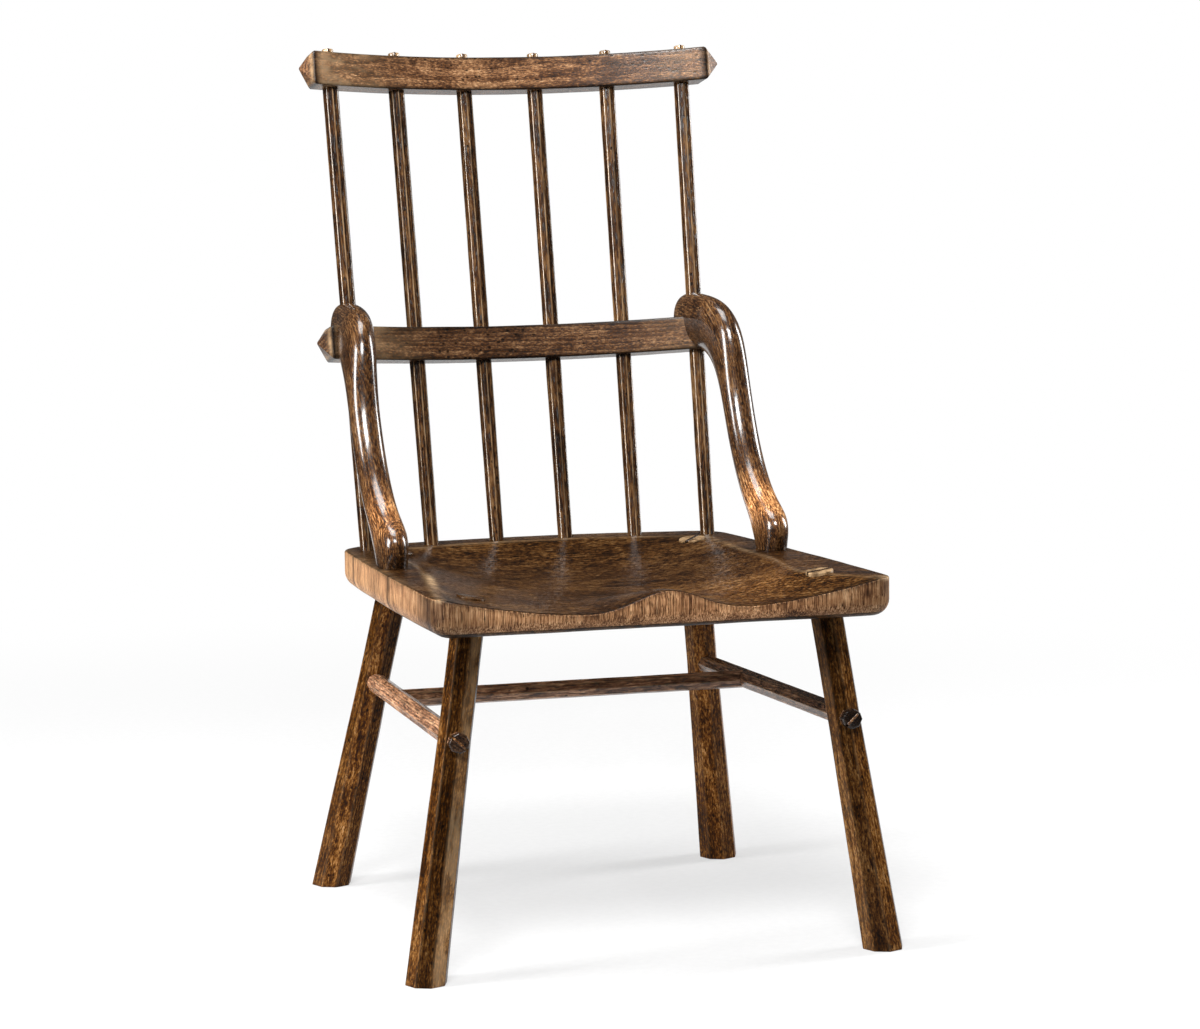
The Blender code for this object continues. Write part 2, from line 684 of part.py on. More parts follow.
def arm_cage(side):
    """Four-cornered rings, one a station, for a subdivided surface."""
    foot, head = arm_ends(side)
    turn_start, turn_end = ARM_TURN_IN
    bm = bmesh.new()
    rings = []
    for under_back, under_up, over_back, over_up, width in ARM_STATIONS:
        back = (under_back + over_back) / 2
        x = between(foot.x, head.x, ease((back - turn_start) / (turn_end - turn_start)))
        under = Vector((x, between(foot.y, head.y, under_back), between(foot.z, head.z, under_up)))
        over = Vector((x, between(foot.y, head.y, over_back), between(foot.z, head.z, over_up)))
        middle = (under + over) / 2
        reach = (over - under) / 2 / CAGE_ROUNDING
        out = Vector((side * width * ARM_WIDTH / 2, 0.0, 0.0)) / CAGE_ROUNDING
        corners = (-out - reach, out - reach, out + reach, -out + reach)
        rings.append([bm.verts.new(middle + corner) for corner in corners])
    for first, second in zip(rings, rings[1:]):
        for i in range(len(first)):
            bm.faces.new((first[i], first[i - 1], second[i - 1], second[i]))
    bm.faces.new(rings[0])
    bm.faces.new(reversed(rings[-1]))
    return bm


def trim_block(frame):
    """A block under the frame's XY plane."""
    bm = bmesh.new()
    below = Matrix.Translation((0.0, 0.0, -TRIM_BLOCK / 2))
    bmesh.ops.create_cube(bm, size=TRIM_BLOCK, matrix=frame @ below)
    return bm


def make_arm(side_name, side, seat, rail_notch):
    name = f"arm_{side_name}"
    foot, head = arm_ends(side)
    arm = add_piece(name, arm_cage(side), Matrix.Translation(foot), WOOD)
    rounding = arm.modifiers.new("rounding", "SUBSURF")
    rounding.levels = rounding.render_levels = ARM_SUBDIVISIONS

    seat_frame = Matrix.Translation(foot + RIM_NORMAL * GAP) @ RIM_TILT
    boolean(arm, add_cutter(f"{name}_foot_trim", trim_block(seat_frame)))

    angle = math.asin(head.x / RAIL_RADIUS)
    facing = Matrix.Rotation(-angle, 4, "Z") @ Matrix.Rotation(math.pi / 2, 4, "X")
    rail_back = Matrix.Translation(rail_arc(head.x, RAIL_THICKNESS / 2 - GAP))
    boolean(arm, add_cutter(f"{name}_back_trim", trim_block(rail_frame(ARM_RAIL_Z) @ rail_back @ facing)))
    boolean(arm, rail_notch)

    inside = foot + RIM_NORMAL * ARM_TENON
    bm = bmesh.new()
    add_bar(bm, foot - RIM_NORMAL * ARM_TENON_DEPTH, inside, ARM_TENON, ARM_TENON, ROUND_SIDES)
    boolean(arm, add_cutter(f"{name}_tenon", bm), "UNION")
    hole = ARM_TENON + 2 * GAP
    bm = bmesh.new()
    add_bar(bm, foot - RIM_NORMAL * (ARM_TENON_DEPTH + GAP), inside, hole, hole, ROUND_SIDES)
    boolean(seat, add_cutter(f"{name}_hole", bm))
    return arm


# Assembly

def centre_depth():
    """Moves the chair so that its box is centred front to back on the origin."""
    bpy.context.view_layer.update()
    graph = bpy.context.evaluated_depsgraph_get()
    low, high = math.inf, -math.inf
    for obj in chair.objects:
        if obj.type != "MESH":
            continue
        shape = obj.evaluated_get(graph)
        for vert in shape.data.vertices:
            y = (shape.matrix_world @ vert.co).y
            low, high = min(low, y), max(high, y)
    root.location.y = -(low + high) / 2


seat = make_seat()
legs = {}
for side_name, side in SIDES:
    for place, plan, turn in (("front", FRONT_LEG, FRONT_WEDGE_TURN), ("rear", REAR_LEG, REAR_WEDGE_TURN)):
        legs[place, side] = make_leg(place, side_name, plan, side, turn, seat)
side_stretchers = [
    make_side_stretcher(side_name, side, legs["front", side], legs["rear", side])
    for side_name, side in SIDES
]
make_medial_stretcher(side_stretchers)
arm_rail = add_piece("arm_rail", rail_mesh(ARM_RAIL_Z), rail_frame(ARM_RAIL_Z), WOOD)
crest_rail = add_piece("crest_rail", rail_mesh(CREST_RAIL_Z), rail_frame(CREST_RAIL_Z), WOOD)
notch = add_cutter("arm_rail_notch", rail_mesh(ARM_RAIL_Z, GAP))
arms = {side: make_arm(side_name, side, seat, notch) for side_name, side in SIDES}
for side_name, side in SIDES:
    for i in range(len(SPINDLE_SEAT_X)):
        arm = arms[side] if i == OUTERMOST else None
        make_spindle(i + 1, side_name, side, seat, arm_rail, crest_rail, arm)
centre_depth()
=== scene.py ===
"""Looks of the plank seat chair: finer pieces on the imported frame, lacquered dark oak and a white studio."""

import math
import random

import bmesh
import bpy
import numpy as np
from mathutils import Matrix, Vector, noise


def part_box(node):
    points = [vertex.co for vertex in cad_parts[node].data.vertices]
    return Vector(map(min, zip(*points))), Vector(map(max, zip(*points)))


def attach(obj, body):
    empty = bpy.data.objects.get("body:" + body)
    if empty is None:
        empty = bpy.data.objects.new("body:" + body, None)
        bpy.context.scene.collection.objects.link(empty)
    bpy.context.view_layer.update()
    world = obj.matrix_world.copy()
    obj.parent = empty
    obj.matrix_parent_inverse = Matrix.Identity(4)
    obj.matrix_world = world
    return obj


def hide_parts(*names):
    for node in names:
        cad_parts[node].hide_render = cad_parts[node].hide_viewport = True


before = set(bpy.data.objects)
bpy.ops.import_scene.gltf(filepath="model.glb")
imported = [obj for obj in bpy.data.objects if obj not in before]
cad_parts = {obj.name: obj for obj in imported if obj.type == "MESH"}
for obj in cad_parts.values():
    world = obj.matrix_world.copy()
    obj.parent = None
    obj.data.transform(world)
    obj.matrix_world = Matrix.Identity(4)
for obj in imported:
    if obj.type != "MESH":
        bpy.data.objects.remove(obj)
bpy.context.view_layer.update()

# Sizes of the solids, in metres
GAP = 0.0003
TENON_PROUD = 0.002
TENON_CHAMFER = 0.001
RIM_Z = 0.452
RIM_FALL = 0.01875
SEAT_THICKNESS = 0.0473
SEAT_FRONT = -0.281
SEAT_REAR = 0.320
SEAT_HALF_FRONT = 0.2832
SIDE_TAPER = 0.0315
SIDE_BOW = 0.00528
REAR_BOW = 0.0332
FRONT_CORNER = 0.027
REAR_CORNER = 0.034
LOWER_ROUND = 0.020
SCOOP_DEPTH = 0.029
SCOOP_TO_SPINDLES = 0.0163
SCOOP_LEVEL = 0.341
SIDE_POWER = 2.3
REAR_POWER = 2.2
RIDGE_LEFT = ((-0.032, 0.988), (0.201, 0.917), (0.434, 0.826), (0.617, 0.793), (0.877, 0.865))
RIDGE_RIGHT = (
    (-0.032, 0.995), (0.126, 0.767), (0.193, 0.713), (0.401, 0.773), (0.617, 0.793), (0.877, 0.865),
)
POMMEL_RISE = 0.027
POMMEL_WIDTH = 0.0566
POMMEL_LENGTH = 0.201
LEG_ACROSS = 0.038
LEG_FOOT_ACROSS = 0.0468
LEG_KNEE_Z = 0.284
LEG_AXIS_Z = 0.400
FRONT_LEG = ((0.0559, -0.2030), (0.0610, -0.0334))
REAR_LEG = ((0.05795, 0.2219), (0.0638, 0.0896))
LEG_TENON = 0.034
FRONT_WEDGE_TURN = math.radians(10)
REAR_WEDGE_TURN = math.radians(47)
SIDE_STRETCHER_ACROSS = 0.0236
SIDE_STRETCHER_FRONT_Z = 0.2837
SIDE_STRETCHER_REAR_Z = 0.2748
STRETCHER_CHAMFER = 0.002
STRETCHER_FRONT_PROUD = 0.008
STRETCHER_REAR_PROUD = 0.003
STRETCHER_WEDGE_TURN = math.radians(45)
MEDIAL_ACROSS = 0.0212
MEDIAL_Y = 0.0993
MEDIAL_SCRIBE = 0.009
RAKE = math.radians(13.2)
BACK_Y = 0.2891
BACK_RADIUS = 0.640
SPINDLE_SEAT_X = (0.0463, 0.1371, 0.2285)
SPINDLE_CREST_X = (0.0481, 0.1432, 0.2375)
SPINDLE_ACROSS = 0.0197
SPINDLE_SEAT_ACROSS = 0.0181
SPINDLE_CREST_TENON = 0.0145
SPINDLE_PROUD = 0.007
RAIL_HEIGHT = 0.0433
RAIL_THICKNESS = 0.0355
RAIL_HALF_LENGTH = 0.2635
RAIL_POINT = 0.0192
ARM_RAIL_Z = 0.6915
CREST_RAIL_Z = 1.0358
ARM_INSET = 0.0239
ARM_FOOT_Y = 0.054
ARM_WIDTH = 0.039
ARM_TURN_IN = (0.50, 1.10)
ARM_STATIONS = (
    (0.048, -0.121, -0.071, -0.121, 0.923),
    (0.095, 0.007, -0.095, 0.007, 0.949),
    (0.159, 0.083, -0.135, 0.091, 1.051),
    (0.230, 0.150, -0.111, 0.182, 1.051),
    (0.290, 0.210, 0.071, 0.254, 1.000),
    (0.365, 0.298, 0.206, 0.358, 1.000),
    (0.448, 0.421, 0.321, 0.485, 1.000),
    (0.528, 0.557, 0.401, 0.621, 1.000),
    (0.595, 0.684, 0.456, 0.740, 1.000),
    (0.667, 0.800, 0.488, 0.848, 1.026),
    (0.754, 0.872, 0.512, 0.963, 1.077),
    (0.853, 0.908, 0.564, 1.103, 1.128),
    (0.944, 0.920, 0.706, 1.203, 1.154),
    (1.040, 0.925, 0.937, 1.218, 1.154),
    (1.234, 0.935, 1.274, 1.206, 1.154),
)
CAGE_ROUNDING = 0.93
LEG_WEDGE = (0.0040, 0.0012, 0.026)
SPINDLE_WEDGE = (0.0022, 0.0008, 0.018)
STRETCHER_WEDGE = (0.0030, 0.0010, 0.022)
SLOT_OVERRUN = 1.5

# Softened and worn edges of the finer pieces
SEAT_EDGE = 0.0028
RIDGE_SOFT = 0.0009
LEG_EDGE = 0.0018
STRETCHER_EDGE = 0.0014
SPINDLE_EDGE = 0.0028
RAIL_EDGE = 0.0022
END_EDGE = 0.0011
SPINDLE_DOME = 0.0018
JOINT = 0.0006
WEDGE_PROUD = 0.0006
HAND_WORK = ((0.055, 0.00022), (0.018, 0.00010))
ARM_WORK = ((0.045, 0.00007), (0.015, 0.00002))
SEAT_WORK = ((0.090, 0.00040), (0.030, 0.00012))

# Resolution of the finer pieces
BAR_STEP = 0.004
RAIL_STEP = 0.005
RAIL_POINT_STEPS = 6
RAIL_BLUNT = 0.05
FLAT_SHARES = (0.14, 0.5, 0.86)
SIDE_SHARES = (0.06, 0.28, 0.5, 0.72, 0.94)
SEAT_CELLS = (176, 184)
OUTLINE_STEPS = 36
CORNER_STEPS = 16
CORNER_CLEAR = 1.3
WALL_STEPS = 8
ROUND_STEPS = 8
EDGE_STEPS = 4
ARM_SUBDIVISIONS = 4
ARM_LINE_STEPS = 120
SETTLE_ROUNDS = 12

# How far bars run into other pieces and lean to their end planes, and how far cutters reach
LEAN_REACH = 0.030
SUNK = 0.004
SHOULDER = 1.5 * SUNK
TENON_FROM = 2 * SUNK
HOLE_REACH = (-0.030, 0.050)
BORE_REACH = (0.1, 0.4)

# Angles: an octagon's corner, a crease, and how level a face of the seat's top or underside is
EIGHTH = math.pi / 4
SHARP_ANGLE = math.radians(38)
EDGE_FACING = 0.7

# Camera, as found from the photograph's mirrored pairs of points
CAMERA_PLACE = (-1.5104, -4.8872, 1.1984)
CAMERA_HEADING = 0.304880
CAMERA_PITCH = -0.136625
CAMERA_ROLL = -0.0030185
CAMERA_OFF_AXIS = (0.000411, 0.001064)
CAMERA_LENS = 124.04

UP = Vector((0.0, 0.0, 1.0))
VIEW_LEVEL = Vector((math.sin(CAMERA_HEADING), math.cos(CAMERA_HEADING), 0.0))

# How light each piece is beside the others of its kind: partly the wood's own tone, and partly painted light
# and shade for pieces lit more or less than the others, as the shaded arm rail
PIECE_TONES = {
    "crest_rail": 1.25,
    "arm_rail": 0.75,
    "leg_rear_left": 1.5,
    "leg_rear_right": 2.6,
    "side_stretcher_left": 3.2,
    "side_stretcher_right": 1.2,
    "medial_stretcher": 1.6,
    **{f"leg_wedge_{place}_{side}": 0.25 for place in ("front", "rear") for side in ("left", "right")},
}

# How much lighter every other face of a leg is, by the row of the leg, and how sharply the faces change:
# painted light and shade that stand in for how light falls on the faces
FACE_SHADE = {"front": -0.42, "rear": 0.15}
FACE_STEP = 8

# A leg's lighter corners, worn and with a painted highlight, and the face painted grey as a sheen: its turn
# about the leg and its amount
SHEEN_FACE = {"leg_front_left": (math.radians(157.5), 1.3), "leg_front_right": (math.radians(-112.5), 0.3)}
FACE_HALF = math.radians(22.5)
FACE_SOFT = math.radians(5)
CORNER_WEAR_AND_HIGHLIGHT = 0.3
CORNER_WIDTH = math.radians(3.2)

# The end of a leg's tenon in the seat: its tone and its rim, painted lighter as a highlight, by side, and the
# rim's place and width
TENON_TONE = {"left": 0.7, "right": 0.5}
TENON_RIM_HIGHLIGHT = {"left": 0.2, "right": 3.0}
RIM_PLACE = (0.97, 0.07)

# Stain at the ends of stretchers, and wear at the ends of spindles with a painted highlight on their tenons'
# tops
END_STAIN = 0.9
END_BLEND = 0.003
SPINDLE_TENON_WEAR_AND_HIGHLIGHT = 1.2

# A rail's dark edges, partly stain and partly painted dark reflection, the painted highlight line past its
# ends, and the painted sheen on its left and right end
EDGE_STAIN_AND_SHADE = 0.95
RAIL_DARK_EDGE_WIDTH = 0.0034
RAIL_HIGHLIGHT_LINE = 0.8
RAIL_HIGHLIGHT_PLACE = (RAIL_HALF_LENGTH + 0.004, 0.002)
RAIL_SHEEN = (0.55, 0.15)
RAIL_SHEEN_PLACE = (0.19, 0.08)
RAIL_SHEEN_END = RAIL_HALF_LENGTH - 0.002

# An arm's light toe, by side, and its dark foot, with their places along the arm
TOE_LIGHT = {"left": 3.2, "right": 4.8}
TOE_PLACE = (0.090, 0.040)
FOOT_DARK = 0.5
FOOT_PLACE = (-0.056, 0.014)

# The seat's wear, painted highlights and sheen, and tone; a patch is (amount, place across, width, place back,
# length)
TOP_SKIN = 0.004
# The ridge line is wear with a painted highlight, the band inside the left ridge is a painted sheen, and GLINT
# is a painted highlight at the front right corner
RIDGE_LINE = 0.5
RIDGE_LINE_DEPTH = (0.0, 0.0012)
SHEEN_BAND = 2.4
SHEEN_BAND_DEPTH = (0.0014, 0.0015)
SHEEN_BAND_ACROSS = (0.10, 0.04)
SHEEN_BAND_BACK = (-0.10, 0.06)
GLINT = (1.5, SEAT_HALF_FRONT - 0.010, 0.010, SEAT_FRONT + 0.012, 0.010)
HOLLOW = (1.0, 0.13, 0.10, -0.17, 0.10)
# The seat's pale left end is a painted sheen
PALE_PLACE = (-0.13, 0.10)
PALE_SHEEN = 0.3
PALE_TONE = 0.40
BOARD_JOINTS = (-0.03, 0.19)
BOARD_JOINT_WIDTH = 0.006
BOARD_JOINT_STAIN = 0.75
# Dark lines along the seat's edges: partly stain and partly painted dark reflection
SEAT_DARK_EDGE_WIDTH = 0.003
# The front is darker towards its right end and at its left corner
RIGHT_DARKENING = 0.55
RIGHT_DARKENING_ACROSS = (0.15, 0.15)
LEFT_DARKENING = 0.7
LEFT_DARKENING_WIDTH = 0.05
LEFT_DARKENING_BACK = (0.2, 0.08)
DARKENING_BELOW = 0.002
WALL_BLEND = 0.010

# Seeds of unevenness and grain: the frame's pieces count on from FRAME_SEED, and wedges add WEDGE_SEEDS
SEED_STEP = (7.3, 3.1, 5.7)
GRAIN_OFFSETS = (1.0, 9.0)
SEAT_SEED = 1
FRAME_SEED = 10
MEDIAL_SEED = 40
ARM_RAIL_SEED = 41
CREST_RAIL_SEED = 42
WEDGE_SEEDS = 100

# Studio: a lamp is (name, place, width and height, power)
LAMPS = (
    ("key_left", (-3.1, -0.5, 1.6), (0.9, 1.8), 150),
    ("high_front", (-0.9, -2.2, 3.0), (1.1, 0.9), 150),
    ("rim_right", (3.1, 0.4, 1.5), (0.8, 1.7), 100),
    ("overhead", (-0.4, 0.2, 3.0), (1.4, 1.2), 60),
)
WORLD_LEVEL = 0.06
SWEEP_START = -0.95
SWEEP_END = 14.0
SWEEP_RISE = 1.15
SWEEP_HALF_WIDTH = 0.88
SWEEP_WIDENS = 0.145
SWEEP_ROWS = 20
SWEEP_RISE_STEPS = 12
SWEEP_COLUMNS = 16
SHEET_WHITE = 0.56
WHITE_REACH = (0.7, 2.4)
PAPER_FIBRES = ((90, 90, 90), 3.0, 0.5)
PAPER_SHADES = (0.59, 0.63)
LAMP_TARGET = Vector((0.0, 0.0, 0.55))
WORLD_COLOUR = (1.0, 0.99, 0.97, 1.0)

SIDES = (("left", -1), ("right", 1))
OUTERMOST = len(SPINDLE_SEAT_X) - 1
medial_low, medial_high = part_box("medial_stretcher")
SHIFT = Vector((0.0, (medial_low.y + medial_high.y) / 2 - MEDIAL_Y, 0.0))


# Shapes shared with the solids, before the shift to the frame's origin

def between(first, second, share):
    return first + (second - first) * share


def ease(share):
    share = min(max(share, 0.0), 1.0)
    return share**2 * (3 - 2 * share)


def smooth_through(value, points):
    """A smooth curve through (place, height) points, read at value and held level past its ends."""
    places, heights = zip(*points)
    value = min(max(value, places[0]), places[-1])
    last = len(points) - 1
    i = max(index for index in range(last) if places[index] <= value)
    span = places[i + 1] - places[i]
    part = (value - places[i]) / span

    def slope(j):
        before, after = max(j - 1, 0), min(j + 1, last)
        return (heights[after] - heights[before]) / (places[after] - places[before])

    bend = span * (slope(i) * (part**3 - 2 * part**2 + part) + slope(i + 1) * (part**3 - part**2))
    return between(heights[i], heights[i + 1], ease(part)) + bend


SEAT_DEPTH = SEAT_REAR - SEAT_FRONT
RIM_SLOPE = RIM_FALL / SEAT_DEPTH
RIM_NORMAL = Vector((0.0, RIM_SLOPE, 1.0)).normalized()
RIM_TILT = Matrix.Rotation(-math.atan(RIM_SLOPE), 4, "X")
SEAT_FRAME = Matrix.Translation((0.0, 0.0, RIM_Z)) @ RIM_TILT
SEAT_UNDERSIDE = Vector((0.0, 0.0, RIM_Z)) - RIM_NORMAL * SEAT_THICKNESS


def rim_z(y):
    return RIM_Z - RIM_SLOPE * y


def seat_share(y):
    return (y - SEAT_FRONT) / SEAT_DEPTH


def half_width(y):
    share = seat_share(y)
    return SEAT_HALF_FRONT - SIDE_TAPER * share + 4 * SIDE_BOW * share * (1 - share)


def rear_edge(x):
    return SEAT_REAR - REAR_BOW * (x / half_width(SEAT_REAR)) ** 2


def ridge(x, y):
    return half_width(y) * smooth_through(seat_share(y), RIDGE_LEFT if x < 0 else RIDGE_RIGHT)


def scoop_rear(x):
    return BACK_Y - SCOOP_TO_SPINDLES - x**2 / (2 * BACK_RADIUS)


def scoop_depth(x, y):
    """Depth of the saddle under the rim plane; negative outside its ridge."""
    across = 1 - (abs(x) / ridge(x, y)) ** SIDE_POWER
    level_y = SEAT_FRONT + SCOOP_LEVEL
    back = max(0.0, (y - level_y) / (scoop_rear(x) - level_y))
    lengthways = 1 - back**REAR_POWER
    inside = across > 0 and lengthways > 0
    bowl = across * lengthways if inside else min(across, 0.0) + min(lengthways, 0.0)
    reach = ease(1 - (y - SEAT_FRONT) / POMMEL_LENGTH)
    pommel = POMMEL_RISE * math.exp(-((x / POMMEL_WIDTH) ** 2)) * reach
    return SCOOP_DEPTH * bowl - pommel


def seat_top(x, y):
    return rim_z(y) - max(scoop_depth(x, y), 0.0)


def seat_top_plane(x, y):
    """A point on the seat and the seat's slope round it, over the width of a leg's tenon."""
    reach = LEG_TENON / 2
    slope_x = (seat_top(x + reach, y) - seat_top(x - reach, y)) / (2 * reach)
    slope_y = (seat_top(x, y + reach) - seat_top(x, y - reach)) / (2 * reach)
    return Vector((x, y, seat_top(x, y))), Vector((-slope_x, -slope_y, 1.0)).normalized()


BACK_Z = rim_z(BACK_Y)
RAIL_RADIUS = BACK_RADIUS / math.cos(RAKE)
SPINDLE_UP = (Matrix.Rotation(-RAKE, 3, "X") @ UP).normalized()


def back_point(x, z):
    return Vector((x, BACK_Y + math.tan(RAKE) * (z - BACK_Z) - x**2 / (2 * BACK_RADIUS), z))


def rail_frame(z):
    return Matrix.Translation(back_point(0.0, z)) @ Matrix.Rotation(-RAKE, 4, "X")


def rail_arc(x, out=0.0):
    angle = math.asin(x / RAIL_RADIUS)
    reach = RAIL_RADIUS + out
    return Vector((math.sin(angle) * reach, math.cos(angle) * reach - RAIL_RADIUS, 0.0))


def spindle_axis(i, side):
    lower = back_point(side * SPINDLE_SEAT_X[i], BACK_Z)
    upper = back_point(side * SPINDLE_CREST_X[i], CREST_RAIL_Z)
    return lower, upper


def leg_point(plan, side, z):
    (inset, upper_y), (splay_out, splay_back) = plan
    below = 1 - z / LEG_AXIS_Z
    upper_x = half_width(upper_y) - inset
    return Vector((side * (upper_x + splay_out * below), upper_y + splay_back * below, z))


def leg_top_point(plan, side):
    z = RIM_Z
    for _ in range(SETTLE_ROUNDS):
        point = leg_point(plan, side, z)
        z = seat_top(point.x, point.y)
    return leg_point(plan, side, z)


def stretcher_axis(side):
    front = leg_point(FRONT_LEG, side, SIDE_STRETCHER_FRONT_Z)
    rear = leg_point(REAR_LEG, side, SIDE_STRETCHER_REAR_Z)
    return front, rear


def arm_ends(side):
    foot = Vector((side * (half_width(ARM_FOOT_Y) - ARM_INSET), ARM_FOOT_Y, rim_z(ARM_FOOT_Y)))
    lower, upper = spindle_axis(OUTERMOST, side)
    spindle = lower.lerp(upper, (ARM_RAIL_Z - BACK_Z) / (CREST_RAIL_Z - BACK_Z))
    return foot, rail_frame(ARM_RAIL_Z) @ rail_arc(spindle.x)


# Lines, and values over a surface

def quarter(steps, first=0):
    """Sine and one minus cosine at even steps of a quarter turn, from the first one wanted."""
    angles = [math.pi / 2 * step / steps for step in range(first, steps + 1)]
    return [(math.sin(angle), 1 - math.cos(angle)) for angle in angles]


def unit(vectors):
    return vectors / np.linalg.norm(vectors, axis=1)[:, None]


def run_lengths(points):
    """How far along a line of points each of them lies."""
    return np.concatenate(([0], np.cumsum(np.linalg.norm(np.diff(points, axis=0), axis=1))))


def hump(place, centre, width):
    return np.exp(-(((place - centre) / width) ** 2))


def rise(place, centre, width):
    """0 below centre, 1 above it, over about width."""
    return 1 / (1 + np.exp(-4 * (place - centre) / width))


# Mesh helpers

def along(start, end):
    """A frame at start whose Z axis runs towards end."""
    turn = UP.rotation_difference(end - start)
    return Matrix.Translation(start) @ turn.to_matrix().to_4x4()


def grid_faces(rows, columns):
    """Quads of a grid with one more point than quads in each row and column."""
    width = columns + 1
    starts = [row * width + column for row in range(rows) for column in range(columns)]
    return [(first, first + 1, first + 1 + width, first + width) for first in starts]


def lofted(rings):
    """A closed mesh through closed rings of points."""
    columns = len(rings[0])
    points = [point for ring in rings for point in ring]
    last = len(points) - columns
    faces = []
    for first in range(0, last, columns):
        second = first + columns
        for column in range(columns):
            after = (column + 1) % columns
            faces.append((first + column, first + after, second + after, second + column))
    faces += [tuple(range(columns)), tuple(range(last, len(points)))]
    return mesh_of(points, faces)


def raw_mesh(name, points, faces):
    mesh = bpy.data.meshes.new(name)
    mesh.from_pydata([tuple(point) for point in points], [], faces)
    return mesh


def mesh_of(points, faces):
    mesh = raw_mesh("shape", points, faces)
    bm = bmesh.new()
    bm.from_mesh(mesh)
    bpy.data.meshes.remove(mesh)
    face_outward(bm)
    return bm


def face_outward(bm):
    bmesh.ops.recalc_face_normals(bm, faces=bm.faces[:])
    if bm.calc_volume(signed=True) < 0:
        bmesh.ops.reverse_faces(bm, faces=bm.faces[:])


def roughen(bm, waves, seed):
    """Moves the surface in and out a little, as hand work leaves it; waves are (length, height)."""
    bm.normal_update()
    offset = Vector([seed * step for step in SEED_STEP])
    moves = []
    for vert in bm.verts:
        move = sum(height * noise.noise(vert.co / length + offset) for length, height in waves)
        moves.append(vert.normal * move)
    for vert, move in zip(bm.verts, moves):
        vert.co += move


def trim(bm, point, normal):
    """Cuts away what lies beyond the plane on the normal's side, and closes the cut."""
    geometry = bm.verts[:] + bm.edges[:] + bm.faces[:]
    cut_made = bmesh.ops.bisect_plane(bm, geom=geometry, plane_co=point, plane_no=normal, clear_outer=True)
    rim = [item for item in cut_made["geom_cut"] if isinstance(item, bmesh.types.BMEdge)]
    bmesh.ops.edgeloop_fill(bm, edges=rim)
    face_outward(bm)


def placed(name, data):
    obj = bpy.data.objects.new(name, data)
    bpy.context.scene.collection.objects.link(obj)
    return obj


def linked(name, bm):
    mesh = bpy.data.meshes.new(name)
    bm.to_mesh(mesh)
    bm.free()
    return placed(name, mesh)


def settle(obj):
    """Applies an object's modifiers."""
    graph = bpy.context.evaluated_depsgraph_get()
    mesh = bpy.data.meshes.new_from_object(obj.evaluated_get(graph))
    old = obj.data
    obj.modifiers.clear()
    obj.data = mesh
    bpy.data.meshes.remove(old)


def cut(obj, shapes):
    """Takes closed shapes out of an object."""
    cutters = [linked("cutter", bm) for bm in shapes]
    for cutter in cutters:
        modifier = obj.modifiers.new("cut", "BOOLEAN")
        modifier.object = cutter
    settle(obj)
    for cutter in cutters:
        bpy.data.objects.remove(cutter)


def wedge_slot(place, across, shape):
    """The slot that a wedge sits in, across the end of a tenon."""
    top, tip, depth = shape
    lift = across / 2
    top_thickness = top + (top - tip) * lift / depth + 2 * GAP
    bm = bmesh.new()
    for vert in bmesh.ops.create_cube(bm, size=1.0)["verts"]:
        is_top = vert.co.z > 0
        thickness = top_thickness if is_top else tip + 2 * GAP
        z = lift if is_top else -depth - GAP
        vert.co = Vector((vert.co.x * SLOT_OVERRUN * across, vert.co.y * thickness, z))
    bm.transform(place)
    return bm


def straight(place):
    """Wood coordinates for a straight piece: the grain runs along the Z axis of place."""
    inverse = np.array(place.inverted())
    return lambda points: points @ inverse[:3, :3].T + inverse[:3, 3]


def add_piece(node, obj, material, wood, seed, wear_and_sheen=None, tone=None):
    """Dresses a finished mesh; wood, wear and tone give values at its points. The wear values lighten the wood
    for real wear and for painted highlights and sheen.
    """
    mesh = obj.data
    count = len(mesh.vertices)
    points = np.empty(count * 3, np.float32)
    mesh.vertices.foreach_get("co", points)
    points = points.reshape(-1, 3)
    local = wood(points)
    chosen = random.Random(seed)
    offset = [chosen.uniform(*GRAIN_OFFSETS) for _ in range(3)]
    worn_and_sheen = wear_and_sheen(local) if wear_and_sheen else np.zeros(count)
    tones = PIECE_TONES.get(node, 1.0) * (tone(local) if tone else np.ones(count))
    for name, values in (("wear_and_sheen", worn_and_sheen), ("tone", tones)):
        attribute = mesh.attributes.new(name, "FLOAT", "POINT")
        attribute.data.foreach_set("value", np.asarray(values, np.float32))
    grain = mesh.attributes.new("grain", "FLOAT_VECTOR", "POINT")
    grain.data.foreach_set("vector", (local + offset).astype(np.float32).ravel())
    mesh.transform(Matrix.Translation(SHIFT))
    if not mesh.materials:
        mesh.materials.append(materials[material])
    mesh.shade_smooth()
    mesh.set_sharp_from_angle(angle=SHARP_ANGLE)
    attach(obj, "root")
    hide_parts(node)


# Bars

def ring_of(arcs, shares):
    """Points round a closed ring: the corners' arcs, and points at shares of the straight sides between."""
    ring = []
    for arc, following in zip(arcs, arcs[1:] + arcs[:1]):
        ring += arc
        ring += [between(arc[-1], following[0], share) for share in shares]
    return np.array(ring)


def heading(angle):
    """A unit vector, turned by angle from the second axis."""
    return np.array((math.sin(angle), math.cos(angle)))


def octagon(edge):
    """Points round an octagon of half width 1, its corners rounded by edge."""
    reach = (1 - edge) / math.cos(EIGHTH / 2)
    arcs = []
    for corner in range(8):
        middle = corner * EIGHTH
        turns = [middle + EIGHTH * (step / (EDGE_STEPS - 1) - 0.5) for step in range(EDGE_STEPS)]
        arcs.append([heading(middle) * reach + heading(turn) * edge for turn in turns])
    return ring_of(arcs, FLAT_SHARES)


